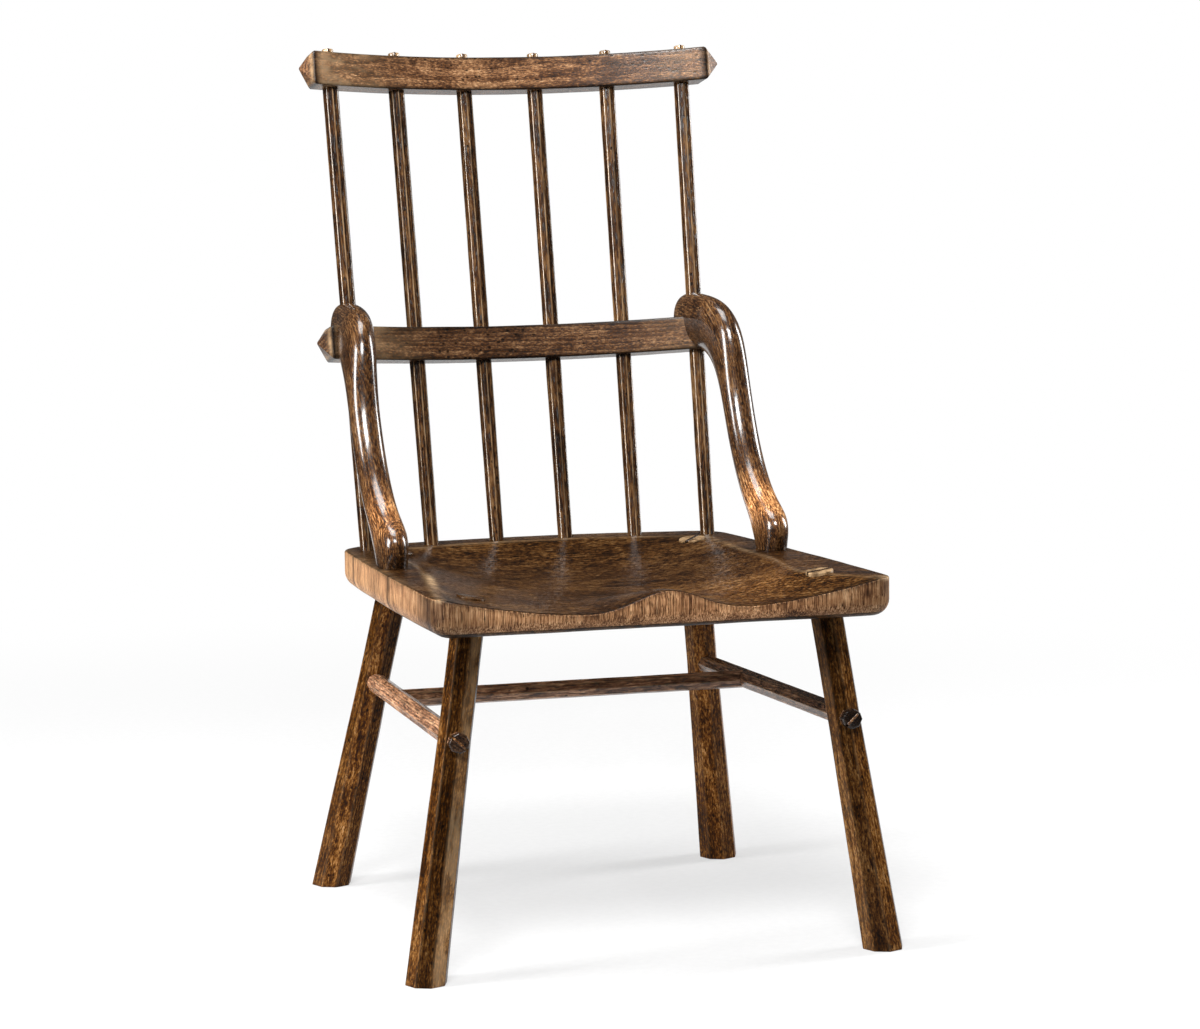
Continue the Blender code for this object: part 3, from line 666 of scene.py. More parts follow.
def rectangle(half_y, half_z, edge):
    """Points round a rectangle, its corners rounded by edge."""
    arcs = []
    for index, (sign_y, sign_z) in enumerate(((1, 1), (-1, 1), (-1, -1), (1, -1))):
        centre = np.array((sign_y * (half_y - edge), sign_z * (half_z - edge)))
        turns = [math.pi / 2 * (index + step / (EDGE_STEPS + 1)) for step in range(EDGE_STEPS + 2)]
        arcs.append([centre + heading(turn)[::-1] * edge for turn in turns])
    return ring_of(arcs, SIDE_SHARES)


def bar(place, profile, edge, planes, ends=(0.0, 0.0)):
    """A bar up the Z axis of place; a profile point is (height, width over the flats, roundness).

    The ends are rounded over by ends and lie in planes with the given normals.
    """
    places, widths, rounds = zip(*profile)
    bottom, top = places[0], places[-1]
    heights = []
    for low, high in zip(places, places[1:]):
        count = max(1, round((high - low) / BAR_STEP))
        heights += [between(low, high, i / count) for i in range(count)]
    stations = [(height, 0.0) for height in heights if bottom + ends[0] < height < top - ends[1]]
    arc = quarter(EDGE_STEPS)
    low_end = [(bottom + ends[0] * (1 - out), ends[0] * inset) for out, inset in reversed(arc)]
    high_end = [(top - ends[1] * (1 - out), ends[1] * inset) for out, inset in arc]
    stations = (low_end if ends[0] else low_end[:1]) + stations + (high_end if ends[1] else high_end[-1:])
    normals = [place.to_3x3().inverted() @ normal for normal in planes]
    rings = []
    for height, inset in stations:
        half = np.interp(height, places, widths) / 2
        roundness = np.interp(height, places, rounds)
        ring = octagon(edge / half)
        flat = between(ring, unit(ring), roundness) * (half - inset)
        leans = (max(0.0, 1 - (height - bottom) / LEAN_REACH), max(0.0, 1 - (top - height) / LEAN_REACH))
        points = []
        for x, y in flat:
            lean = sum(-(n.x * x + n.y * y) / n.z * weight for n, weight in zip(normals, leans))
            points.append(place @ Vector((x, y, height + lean)))
        rings.append(points)
    return lofted(rings)


def bar_turn(local):
    """The turn of a bar's points about its length, 0 at its back."""
    return np.arctan2(local[:, 0], local[:, 1])


def corner_wear_and_highlight(local):
    """1 at the corners of an octagonal bar, falling off on its flats: worn corners with a painted highlight.
    """
    off = np.abs((bar_turn(local) + EIGHTH / 2) % EIGHTH - EIGHTH / 2)
    return hump(off, 0.0, CORNER_WIDTH)


def worked_bar(node, seed, *shape):
    """A bar as an object, with an uneven, hand-worked surface."""
    bm = bar(*shape)
    roughen(bm, HAND_WORK, seed)
    return linked(f"{node}_oak", bm)


def make_leg(place, side_name, plan, side, wedge_turn, seed):
    node = f"leg_{place}_{side_name}"
    foot, knee, above = (leg_point(plan, side, z) for z in (0.0, LEG_KNEE_Z, RIM_Z))
    axis = along(foot, above)
    top = leg_top_point(plan, side)
    axis_run = (above - foot).normalized()
    surface, normal = seat_top_plane(top.x, top.y)
    crown = surface + normal * TENON_PROUD
    under, over = (
        (point - foot).dot(facing) / axis_run.dot(facing)
        for point, facing in ((SEAT_UNDERSIDE, RIM_NORMAL), (crown, normal))
    )
    profile = (
        (0.0, LEG_FOOT_ACROSS, 0.0),
        ((knee - foot).length, LEG_ACROSS, 0.0),
        (under + SUNK, LEG_ACROSS, 0.0),
        (under + SHOULDER, LEG_TENON, 1.0),
        (over, LEG_TENON, 1.0),
    )
    obj = worked_bar(node, seed, axis, profile, LEG_EDGE, (UP, normal), (END_EDGE, END_EDGE))
    turned = along(crown, crown + above - foot) @ Matrix.Rotation(side * wedge_turn, 4, "Z")
    cut(obj, [wedge_slot(turned, LEG_TENON, LEG_WEDGE)])
    make_wedge(f"leg_wedge_{place}_{side_name}", turned, LEG_TENON, LEG_WEDGE, normal, seed + WEDGE_SEEDS)

    def wear_and_sheen(local):
        # The tenon's lighter rim is a painted highlight, the corners are wear with a painted highlight, and
        # the grey face is a painted sheen
        radius = np.hypot(local[:, 0], local[:, 1]) / (LEG_TENON / 2)
        rim = TENON_RIM_HIGHLIGHT[side_name] * hump(radius, *RIM_PLACE) * (local[:, 2] > under + TENON_FROM)
        lightened = CORNER_WEAR_AND_HIGHLIGHT * corner_wear_and_highlight(local)
        if node in SHEEN_FACE:
            turn, amount = SHEEN_FACE[node]
            off = np.abs(bar_turn(local) - turn)
            lightened = np.maximum(lightened, amount * rise(-off, -FACE_HALF, FACE_SOFT))
        return np.maximum(lightened * (local[:, 2] < under), rim)

    def tone(local):
        """Every other face is painted lighter and the next darker, as light and shade fall on them; the tenon
        is as dark as the seat.
        """
        faces = 1 + FACE_SHADE[place] * np.clip(FACE_STEP * np.sin(4 * bar_turn(local)), -1, 1)
        return np.where(local[:, 2] < under, faces, TENON_TONE[side_name] / PIECE_TONES.get(node, 1.0))

    add_piece(node, obj, "leg", straight(axis), seed, wear_and_sheen, tone)


def make_side_stretcher(side_name, side, seed):
    node = f"side_stretcher_{side_name}"
    front, rear = stretcher_axis(side)
    forward = (front - rear).normalized()
    inside = LEG_ACROSS / 2 / math.cos(EIGHTH / 2)
    front_end = front + forward * (inside + STRETCHER_FRONT_PROUD)
    rear_end = rear - forward * (inside + STRETCHER_REAR_PROUD)
    axis = along(rear_end, front_end)
    length = (front_end - rear_end).length
    across = SIDE_STRETCHER_ACROSS
    profile = ((0.0, across, 0.0), (length, across, 0.0))
    ends = (STRETCHER_CHAMFER, STRETCHER_CHAMFER)
    obj = worked_bar(node, seed, axis, profile, STRETCHER_EDGE, (forward, forward), ends)
    turn = Matrix.Rotation(side * STRETCHER_WEDGE_TURN, 4, "Z")
    slots = []
    for place, end, outward in (("front", front_end, forward), ("rear", rear_end, -forward)):
        turned = along(end, end + outward) @ turn
        slots.append(wedge_slot(turned, across, STRETCHER_WEDGE))
        wedge = f"stretcher_wedge_{place}_{side_name}"
        wedge_across = across - 2 * STRETCHER_CHAMFER
        make_wedge(wedge, turned, wedge_across, STRETCHER_WEDGE, outward, seed + WEDGE_SEEDS)
    cut(obj, slots)

    def at_end(local):
        shown = inside + STRETCHER_FRONT_PROUD - LEG_ACROSS / 2
        return rise(shown - np.minimum(local[:, 2], length - local[:, 2]), 0.0, END_BLEND)

    def wear_and_sheen(local):
        return corner_wear_and_highlight(local) * (1 - at_end(local))

    def tone(local):
        """Stain is darkest on the proud ends."""
        return 1 - END_STAIN * at_end(local)

    add_piece(node, obj, "stretcher", straight(axis), seed, wear_and_sheen, tone)


def make_medial_stretcher(seed):
    front, rear = stretcher_axis(1)
    middle = front.lerp(rear, (MEDIAL_Y - front.y) / (rear.y - front.y))
    half = middle.x - SIDE_STRETCHER_ACROSS / 2 / math.cos(EIGHTH / 2) + MEDIAL_SCRIBE
    start, end = (Vector((x, MEDIAL_Y, middle.z)) for x in (-half, half))
    axis = along(start, end)
    profile = ((0.0, MEDIAL_ACROSS, 0.0), (2 * half, MEDIAL_ACROSS, 0.0))
    run = end - start
    node = "medial_stretcher"
    obj = worked_bar(node, seed, axis, profile, STRETCHER_EDGE, (run, run))
    add_piece(node, obj, "stretcher", straight(axis), seed, corner_wear_and_highlight)


def make_spindle(number, side_name, side, seed):
    node = f"spindle_{side_name}_{number}"
    lower, upper = spindle_axis(number - 1, side)
    axis = (upper - lower).normalized()
    place = along(lower, upper)
    crest = rail_frame(CREST_RAIL_Z)
    crest_over = crest @ Vector((0.0, 0.0, RAIL_HEIGHT / 2 + SPINDLE_PROUD))
    length = (upper - lower).length
    over = (crest_over - lower).dot(SPINDLE_UP) / axis.dot(SPINDLE_UP)
    middle = length * (ARM_RAIL_Z - RAIL_HEIGHT - BACK_Z) / (CREST_RAIL_Z - BACK_Z)
    profile = (
        (-SHOULDER, SPINDLE_SEAT_ACROSS, 0.0),
        (middle, SPINDLE_ACROSS, 0.0),
        (length - RAIL_HEIGHT / 4, SPINDLE_ACROSS, 0.0),
        (length, SPINDLE_CREST_TENON, 1.0),
        (over, SPINDLE_CREST_TENON, 1.0),
    )
    obj = worked_bar(node, seed, place, profile, SPINDLE_EDGE, (axis, SPINDLE_UP), (0.0, SPINDLE_DOME))
    crown = lower + axis * over
    across_rail = along(crown, crown + axis) @ Matrix.Rotation(math.pi / 2, 4, "Z")
    cut(obj, [wedge_slot(across_rail, SPINDLE_CREST_TENON, SPINDLE_WEDGE)])
    wedge = f"spindle_wedge_{side_name}_{number}"
    wedge_across = SPINDLE_CREST_TENON - 2 * SPINDLE_DOME + 2 * TENON_CHAMFER
    make_wedge(wedge, across_rail, wedge_across, SPINDLE_WEDGE, SPINDLE_UP, seed + WEDGE_SEEDS)

    def wear_and_sheen(local):
        return np.where(local[:, 2] > length, SPINDLE_TENON_WEAR_AND_HIGHLIGHT, corner_wear_and_highlight(local))

    add_piece(node, obj, "spindle", straight(place), seed, wear_and_sheen)


# Wedges and rails

def make_wedge(node, place, across, shape, normal, seed):
    """A wedge in the end of a tenon, its worn head a little proud of the end plane."""
    top, tip, depth = shape
    facing = place.to_3x3().inverted() @ normal
    stations = [(-depth, tip, 0.0), (-WEDGE_PROUD, top, 0.0)]
    stations += [(WEDGE_PROUD * out, top, WEDGE_PROUD * inset) for out, inset in quarter(EDGE_STEPS)]
    rings = []
    for height, thickness, inset in stations:
        section = rectangle(across / 2 - TENON_CHAMFER - inset, thickness / 2 - inset, WEDGE_PROUD / 2)
        ring = []
        for x, y in section:
            lean = -(facing.x * x + facing.y * y) / facing.z * (1 + min(height, 0.0) / depth)
            ring.append(place @ Vector((x, y, height + lean)))
        rings.append(ring)
    obj = linked(f"{node}_oak", lofted(rings))
    add_piece(node, obj, "wedge", straight(place), seed)


def bent_rail(z, extra=0.0):
    """A rail with pointed ends, bent to the back's curve; extra makes it thicker all round."""
    section = rectangle(RAIL_THICKNESS / 2 + extra, RAIL_HEIGHT / 2 + extra, RAIL_EDGE)
    count = round(2 * RAIL_HALF_LENGTH / RAIL_STEP)
    soft = END_EDGE / RAIL_POINT
    tip = [(RAIL_HALF_LENGTH - END_EDGE, 1.0), (RAIL_HALF_LENGTH, 1 - soft / 2)]
    for i in range(RAIL_POINT_STEPS + 1):
        share = between(soft, 1 - RAIL_BLUNT, i / RAIL_POINT_STEPS)
        tip.append((RAIL_HALF_LENGTH + share * RAIL_POINT, 1 - share))
    middle = [(RAIL_HALF_LENGTH * (2 * i / count - 1), 1.0) for i in range(2, count - 1)]
    stations = [(-x, scale) for x, scale in reversed(tip)] + middle + tip
    rings = []
    for x, scale in stations:
        ring = []
        for y, up in section * scale:
            bent = math.sqrt((RAIL_RADIUS + y) ** 2 - x**2) - RAIL_RADIUS
            ring.append(rail_frame(z) @ Vector((x, bent, up)))
        rings.append(ring)
    return lofted(rings)


def unbent(z):
    """Wood coordinates of a rail, straightened: through its thickness, up, and along its curve."""
    flat = straight(rail_frame(z))

    def wood(points):
        x, y, up = flat(points).T
        reach = np.hypot(x, y + RAIL_RADIUS)
        return np.stack([reach - RAIL_RADIUS, up, np.arctan2(x, y + RAIL_RADIUS) * RAIL_RADIUS], axis=1)

    return wood


def rail_reach(local):
    """How far a point of a rail lies from the rail's middle, to either side."""
    return np.abs((RAIL_RADIUS + local[:, 0]) * np.sin(local[:, 2] / RAIL_RADIUS))


def rail_tone(local):
    """Stain gathers along the edges of a rail and of its pointed ends; the dark lines there are also painted
    dark reflection.
    """
    from_face = np.maximum(RAIL_THICKNESS / 2 - np.abs(local[:, 0]), 0)
    from_top = np.maximum(RAIL_HEIGHT / 2 - np.abs(local[:, 1]), 0)
    past = rail_reach(local) - RAIL_HALF_LENGTH
    near = np.minimum(np.hypot(from_face, from_top), np.hypot(past, np.minimum(from_face, from_top)))
    return 1 - EDGE_STAIN_AND_SHADE * hump(near, 0.0, RAIL_DARK_EDGE_WIDTH)


def rail_highlights(local):
    """Painted highlight lines beside the dark ones at the ends, and a painted sheen on the wood towards them.
    """
    reach = rail_reach(local)
    line = RAIL_HIGHLIGHT_LINE * hump(reach, *RAIL_HIGHLIGHT_PLACE)
    amount = np.where(local[:, 2] < 0, *RAIL_SHEEN)
    lightened = amount * rise(reach, *RAIL_SHEEN_PLACE) * (reach < RAIL_SHEEN_END)
    return np.maximum(line, lightened)


def make_rail(node, z, seed):
    bm = bent_rail(z)
    roughen(bm, HAND_WORK, seed)
    obj = linked(f"{node}_oak", bm)
    add_piece(node, obj, "rail", unbent(z), seed, rail_highlights, rail_tone)


# Arms

def arm_cage(side):
    """Four-cornered rings, one a station, for a subdivided surface."""
    foot, head = arm_ends(side)
    turn_start, turn_end = ARM_TURN_IN
    rings = []
    for under_back, under_up, over_back, over_up, width in ARM_STATIONS:
        back = (under_back + over_back) / 2
        x = between(foot.x, head.x, ease((back - turn_start) / (turn_end - turn_start)))
        under = Vector((x, between(foot.y, head.y, under_back), between(foot.z, head.z, under_up)))
        over = Vector((x, between(foot.y, head.y, over_back), between(foot.z, head.z, over_up)))
        middle = (under + over) / 2
        reach = (over - under) / 2 / CAGE_ROUNDING
        out = Vector((side * width * ARM_WIDTH / 2, 0.0, 0.0)) / CAGE_ROUNDING
        rings.append([middle + corner for corner in (-out - reach, out - reach, out + reach, -out + reach)])
    return lofted(rings)


def make_arm(side_name, side, seed):
    node = f"arm_{side_name}"
    foot, head = arm_ends(side)
    obj = linked(f"{node}_oak", arm_cage(side))
    rounding = obj.modifiers.new("rounding", "SUBSURF")
    rounding.levels = rounding.render_levels = ARM_SUBDIVISIONS
    settle(obj)
    bm = bmesh.new()
    bm.from_mesh(obj.data)
    roughen(bm, ARM_WORK, seed)
    trim(bm, foot + RIM_NORMAL * GAP, -RIM_NORMAL)
    angle = math.asin(head.x / RAIL_RADIUS)
    rail = rail_frame(ARM_RAIL_Z)
    back = rail @ rail_arc(head.x, RAIL_THICKNESS / 2 - GAP)
    facing = rail.to_3x3() @ Vector((math.sin(angle), math.cos(angle), 0.0))
    trim(bm, back, facing)
    bm.to_mesh(obj.data)
    bm.free()
    lower, upper = spindle_axis(OUTERMOST, side)
    axis = (upper - lower).normalized()
    hole = SPINDLE_ACROSS + 2 * GAP
    profile = [(reach, hole, 0.0) for reach in BORE_REACH]
    bore = bar(along(lower, upper), profile, SPINDLE_EDGE, (axis, axis))
    cut(obj, [bent_rail(ARM_RAIL_Z, GAP), bore])

    def tone(local):
        """The toe is lighter, and its foot stays dark."""
        foot_tone = 1 - FOOT_DARK * rise(-local[:, 2], *FOOT_PLACE)
        return foot_tone * (1 + TOE_LIGHT[side_name] * hump(local[:, 2], *TOE_PLACE))

    add_piece(node, obj, "arm", arm_wood(side), seed, tone=tone)


def arm_wood(side):
    """Wood coordinates of an arm: across it, through it and along its sweep."""
    foot, head = arm_ends(side)
    stations = np.array(ARM_STATIONS)
    places = np.linspace(0, len(stations) - 1, ARM_LINE_STEPS)
    back = np.interp(places, range(len(stations)), (stations[:, 0] + stations[:, 2]) / 2)
    up = np.interp(places, range(len(stations)), (stations[:, 1] + stations[:, 3]) / 2)
    line = np.stack([between(foot.y, head.y, back), between(foot.z, head.z, up)], axis=1)
    runs = unit(np.gradient(line, axis=0))
    lengths = run_lengths(line)

    def wood(points):
        apart = points[:, None, 1:] - line[None]
        nearest = np.argmin((apart**2).sum(axis=2), axis=1)
        off = points[:, 1:] - line[nearest]
        run = runs[nearest]
        ahead = (off * run).sum(axis=1)
        through = off[:, 1] * run[:, 0] - off[:, 0] * run[:, 1]
        return np.stack([points[:, 0] - foot.x, through, lengths[nearest] + ahead], axis=1)

    return wood


# Seat

def seat_outline():
    """The plank's four sides as evenly spaced points, anticlockwise from the front."""
    rear_y = SEAT_REAR
    for _ in range(SETTLE_ROUNDS):
        rear_y = rear_edge(half_width(rear_y))
    steps = OUTLINE_STEPS
    low, high = SEAT_FRONT + CORNER_CLEAR * FRONT_CORNER, rear_y - CORNER_CLEAR * REAR_CORNER
    side = [SEAT_FRONT, *np.linspace(low, high, steps - 1), rear_y]
    rear_half = half_width(rear_y) - CORNER_CLEAR * REAR_CORNER
    corners = [(half_width(y), y) for y in side]
    corners += [(x, rear_edge(x)) for x in np.linspace(rear_half, -rear_half, steps)]
    corners += [(-half_width(y), y) for y in reversed(side)]
    bm = bmesh.new()
    verts = [bm.verts.new((x, y, 0.0)) for x, y in corners]
    bm.faces.new(verts)
    sharp = [verts[-1], verts[0], verts[steps], verts[-1 - steps]]
    sharp_places = [np.array(vert.co[:2]) for vert in sharp]
    for pair, radius in ((sharp[:2], FRONT_CORNER), (sharp[2:], REAR_CORNER)):
        bmesh.ops.bevel(bm, geom=pair, offset=radius, segments=CORNER_STEPS, profile=0.5, affect="VERTICES")
    bm.faces.ensure_lookup_table()
    loop = np.array([vert.co[:2] for vert in bm.faces[0].verts])
    bm.free()
    starts = [int(np.argmin(np.linalg.norm(loop - place, axis=1))) for place in sharp_places]
    columns, rows = SEAT_CELLS
    sides = []
    for start, end, count in zip(starts, starts[1:] + starts[:1], (columns, rows, columns, rows)):
        indices = np.arange(start, end + 1 if end > start else end + 1 + len(loop)) % len(loop)
        run = loop[indices]
        lengths = run_lengths(run)
        even = np.linspace(0, lengths[-1], count + 1)
        sides.append(np.stack([np.interp(even, lengths, run[:, k]) for k in (0, 1)], axis=1))
    return sides


def inward(loop):
    """Unit normals of a closed anticlockwise loop, pointing in."""
    run = np.roll(loop, -1, axis=0) - np.roll(loop, 1, axis=0)
    return unit(np.stack([-run[:, 1], run[:, 0]], axis=1))


def coons(front, rear, left, right):
    """A grid of points inside four sides, in rows from front to rear."""
    u = np.linspace(0, 1, len(front))[None, :, None]
    v = np.linspace(0, 1, len(left))[:, None, None]
    ruled = (1 - v) * front[None] + v * rear[None] + (1 - u) * left[:, None] + u * right[:, None]
    corner = (1 - u) * (1 - v) * front[0] + u * (1 - v) * front[-1]
    corner = corner + (1 - u) * v * rear[0] + u * v * rear[-1]
    return ruled - corner


def soft_depth(x, y):
    """The saddle's depth with its ridge softened."""
    depth = scoop_depth(x, y)
    return (depth + math.hypot(depth, RIDGE_SOFT)) / 2


def make_seat(seed):
    columns, rows = SEAT_CELLS
    sides = seat_outline()
    loop = np.concatenate([side[:-1] for side in sides])
    into = inward(loop)
    inner = loop + into * SEAT_EDGE
    cuts = np.cumsum([0, columns, rows, columns, rows])
    closed = np.concatenate([inner, inner[:1]])
    front, right, rear, left = (closed[cuts[i]:cuts[i + 1] + 1] for i in range(4))
    grid = coons(front, rear[::-1], left[::-1], right)
    points = [(x, y, -soft_depth(x, y)) for x, y in grid.reshape(-1, 2)]
    faces = grid_faces(rows, columns)
    width = columns + 1
    border = list(range(columns))
    border += [row * width + columns for row in range(rows)]
    border += [rows * width + column for column in range(columns, 0, -1)]
    border += [row * width for row in range(rows, 0, -1)]
    edge_z = np.array([-soft_depth(x, y) for x, y in inner])
    low = LOWER_ROUND - SEAT_THICKNESS
    rings = []
    for out, fall in quarter(EDGE_STEPS, first=1):
        rings.append((SEAT_EDGE * (1 - out), edge_z - SEAT_EDGE * fall))
    for step in range(1, WALL_STEPS + 1):
        rings.append((0.0, between(edge_z - SEAT_EDGE, low, step / WALL_STEPS)))
    for fall, inset in quarter(ROUND_STEPS, first=1):
        rings.append((LOWER_ROUND * inset, np.full(len(loop), low - LOWER_ROUND * fall)))
    previous = border
    for inset, heights in rings:
        start = len(points)
        ring = loop + into * inset
        points += [(x, y, z) for (x, y), z in zip(ring, heights)]
        current = list(range(start, len(points)))
        for i in range(len(current)):
            after = (i + 1) % len(current)
            faces.append((previous[i], previous[after], current[after], current[i]))
        previous = current
    faces.append(tuple(previous))
    bm = mesh_of([SEAT_FRAME @ Vector(point) for point in points], faces)
    roughen(bm, SEAT_WORK, seed)
    bm.normal_update()
    for face in bm.faces:
        face.material_index = 1 if abs(face.normal.z) < EDGE_FACING else 0
    obj = linked("seat_oak", bm)
    obj.data.materials.append(materials["seat"])
    obj.data.materials.append(materials["seat_edge"])
    cut(obj, seat_holes())

    def wear_and_sheen(local):
        # Lighter: the ridge line is wear with a painted highlight, the band is a painted sheen, GLINT is a
        # painted highlight and the pale left end is a painted sheen
        back, up, across = local.T
        depths = scoop_depths(across, back)
        on_top = -up < np.maximum(depths, 0) + TOP_SKIN
        line = RIDGE_LINE * hump(depths, *RIDGE_LINE_DEPTH) * (-up < TOP_SKIN)
        band = hump(depths, *SHEEN_BAND_DEPTH) * rise(-across, *SHEEN_BAND_ACROSS) * hump(back, *SHEEN_BAND_BACK)
        top = np.maximum(np.maximum(line, SHEEN_BAND * band), patch(GLINT, across, back))
        left_end = PALE_SHEEN * left_wall(local) * rise(back, *PALE_PLACE) * (1 - board_joints(back))
        return np.maximum(top * on_top, left_end)

    def tone(local):
        back, up, across = local.T
        nearest = np.min(np.linalg.norm(local[:, None, [2, 0]] - loop[None, ::2], axis=2), axis=1)
        surface = np.maximum(scoop_depths(across, back), 0.0)
        # A dark line along the seat's edges: partly stain and partly painted dark reflection
        edge = hump(nearest, 0.0, SEAT_DARK_EDGE_WIDTH) * hump(-up, surface, SEAT_DARK_EDGE_WIDTH)
        return seat_tone(local) * (1 - EDGE_STAIN_AND_SHADE * edge)

    grain_along_x = Matrix(((0, 0, 1, 0), (1, 0, 0, 0), (0, 1, 0, 0), (0, 0, 0, 1)))
    wood = straight(SEAT_FRAME @ grain_along_x)
    add_piece("seat", obj, "seat", wood, seed, wear_and_sheen, tone)


def seat_holes():
    """The holes that the legs stand in; those on the right are wide, so that a dark joint shows."""
    shapes = []
    for _, side in SIDES:
        for plan in (FRONT_LEG, REAR_LEG):
            low, high = (leg_point(plan, side, RIM_Z + reach) for reach in HOLE_REACH)
            run = high - low
            hole = LEG_TENON + 2 * (JOINT if side > 0 else GAP)
            profile = ((0.0, hole, 1.0), (run.length, hole, 1.0))
            shapes.append(bar(along(low, high), profile, LEG_EDGE, (run, run)))
    return shapes


def scoop_depths(across, back):
    return np.array([scoop_depth(x, y) for x, y in zip(across, back)])


def patch(shape, across, back):
    amount, place_across, width, place_back, length = shape
    return amount * hump(across, place_across, width) * hump(back, place_back, length)


def board_joints(back):
    return sum(hump(back, joint, BOARD_JOINT_WIDTH) for joint in BOARD_JOINTS)


def seat_tone(local):
    """A lighter right hollow, a pale left end of painted sheen with the joints of its boards, and darker
    corners in front.
    """
    back, up, across = local.T
    left_end = left_wall(local)
    pale = PALE_TONE * left_end * rise(back, *PALE_PLACE)
    front = rise(-back, -SEAT_FRONT - WALL_BLEND, WALL_BLEND)
    dark = RIGHT_DARKENING * front * rise(across, *RIGHT_DARKENING_ACROSS)
    dark += LEFT_DARKENING * hump(across, -SEAT_HALF_FRONT, LEFT_DARKENING_WIDTH) * rise(-back, *LEFT_DARKENING_BACK)
    tone = 1 + patch(HOLLOW, across, back) + pale - dark * (up < -DARKENING_BELOW)
    return tone * (1 - BOARD_JOINT_STAIN * left_end * board_joints(back))


def left_wall(local):
    """1 on the seat's left end, 0 elsewhere."""
    widths = np.array([half_width(y) for y in local[:, 0]])
    return rise(-local[:, 2] - widths, -WALL_BLEND, WALL_BLEND)


# Materials

class Graph:
    """Adds nodes to a tree; an input is a plain value or another node's socket."""

    def __init__(self, tree):
        self.tree = tree

    def add(self, kind, inputs=(), **settings):
        node = self.tree.nodes.new(kind)
        for key, value in settings.items():
            setattr(node, key, value)
        self.feed(node, dict(inputs))
        return node

    def feed(self, node, inputs):
        for key, value in inputs.items():
            if isinstance(value, bpy.types.NodeSocket):
                self.tree.links.new(value, node.inputs[key])
            else:
                node.inputs[key].default_value = value

    def maths(self, operation, first, second, clamp=False):
        made = self.add("ShaderNodeMath", {0: first, 1: second}, operation=operation, use_clamp=clamp)
        return made.outputs[0]

    def vectors(self, operation, first, second):
        return self.add("ShaderNodeVectorMath", {0: first, 1: second}, operation=operation).outputs[0]

    def stretch(self, vector, factors):
        return self.vectors("MULTIPLY", vector, factors)

    def noise(self, vector, factors, detail, rough):
        inputs = {"Vector": self.stretch(vector, factors), "Scale": 1.0, "Detail": detail, "Roughness": rough}
        return self.add("ShaderNodeTexNoise", inputs).outputs["Fac"]

    def span(self, value, low, high, start=0.0, end=1.0):
        """Maps low..high smoothly to start..end."""
        inputs = {"Value": value, "From Min": low, "From Max": high, "To Min": start, "To Max": end}
        return self.add("ShaderNodeMapRange", inputs, interpolation_type="SMOOTHSTEP").outputs[0]

    def mix(self, factor, first, second):
        return self.add("ShaderNodeMix", {0: factor, 6: first, 7: second}, data_type="RGBA").outputs[2]

    def ramp(self, value, stops):
        node = self.add("ShaderNodeValToRGB", {"Fac": value})
        elements = node.color_ramp.elements
        while len(elements) < len(stops):
            elements.new(0.5)
        for element, (place, colour) in zip(elements, stops):
            element.position = place
            element.color = (*colour, 1.0)
        return node.outputs["Color"]


def new_material(name):
    material = bpy.data.materials.new(name)
    material.use_nodes = True
    tree = material.node_tree
    return material, Graph(tree), tree.nodes["Principled BSDF"]


DARK = (0.006, 0.003, 0.0016)
DEEP = (0.042, 0.0155, 0.0050)
BROWN = (0.130, 0.052, 0.0170)
TAN = (0.31, 0.150, 0.056)
PALE = (0.52, 0.31, 0.150)
WEAR_AND_SHEEN_COLOUR = (0.56, 0.37, 0.20)
STAIN = ((0.12, DARK), (0.36, DEEP), (0.54, BROWN), (0.74, TAN), (0.95, PALE))

# Layers of the grain: cells per metre along its three directions, detail and roughness
FIBRE = ((400, 400, 400), 4.0, 0.65)
STREAK = ((95, 95, 60), 3.0, 0.6)
BLOTCH = ((48, 48, 30), 3.0, 0.6)
BROAD = ((12, 12, 8), 2.0, 0.5)
PORES = ((680, 680, 680), 2.0, 0.5)
PATCHES = ((60, 60, 22), 3.0, 0.6)
SPECKS = (170, 170, 110)
SWAY = (14, 14, 3)
SWAY_WIDTH = (0.016, 0.016, 0.0)
RINGS_ALONG = (1.0, 1.0, 0.05)

# Shares of fibre, streaks, blotches and broad tone, and the ranges of the layers that are picked out
LAYER_SHARES = (1.45, 0.5, 0.45, 0.45)
FIBRE_RANGE = (0.3, 0.7)
PORE_RANGE = (0.43, 0.35)
SPECK_SIZE = (0.36, 0.16)
SPECK_CHANCE = (0.80, 0.84)
PATCH_RANGE = (0.40, 0.62, 0.3, 1.0)
PORE_DARK = 0.85

# Roughness over the gloss on fibre, between it and in pores, and the relief of fibre and pores
ROUGHER = 0.08
SMOOTHER = 0.05
PORE_ROUGH = 0.2
FIBRE_RELIEF = 0.35
PORE_RELIEF = 0.5
RELIEF = {"Strength": 0.5, "Distance": 0.00014}


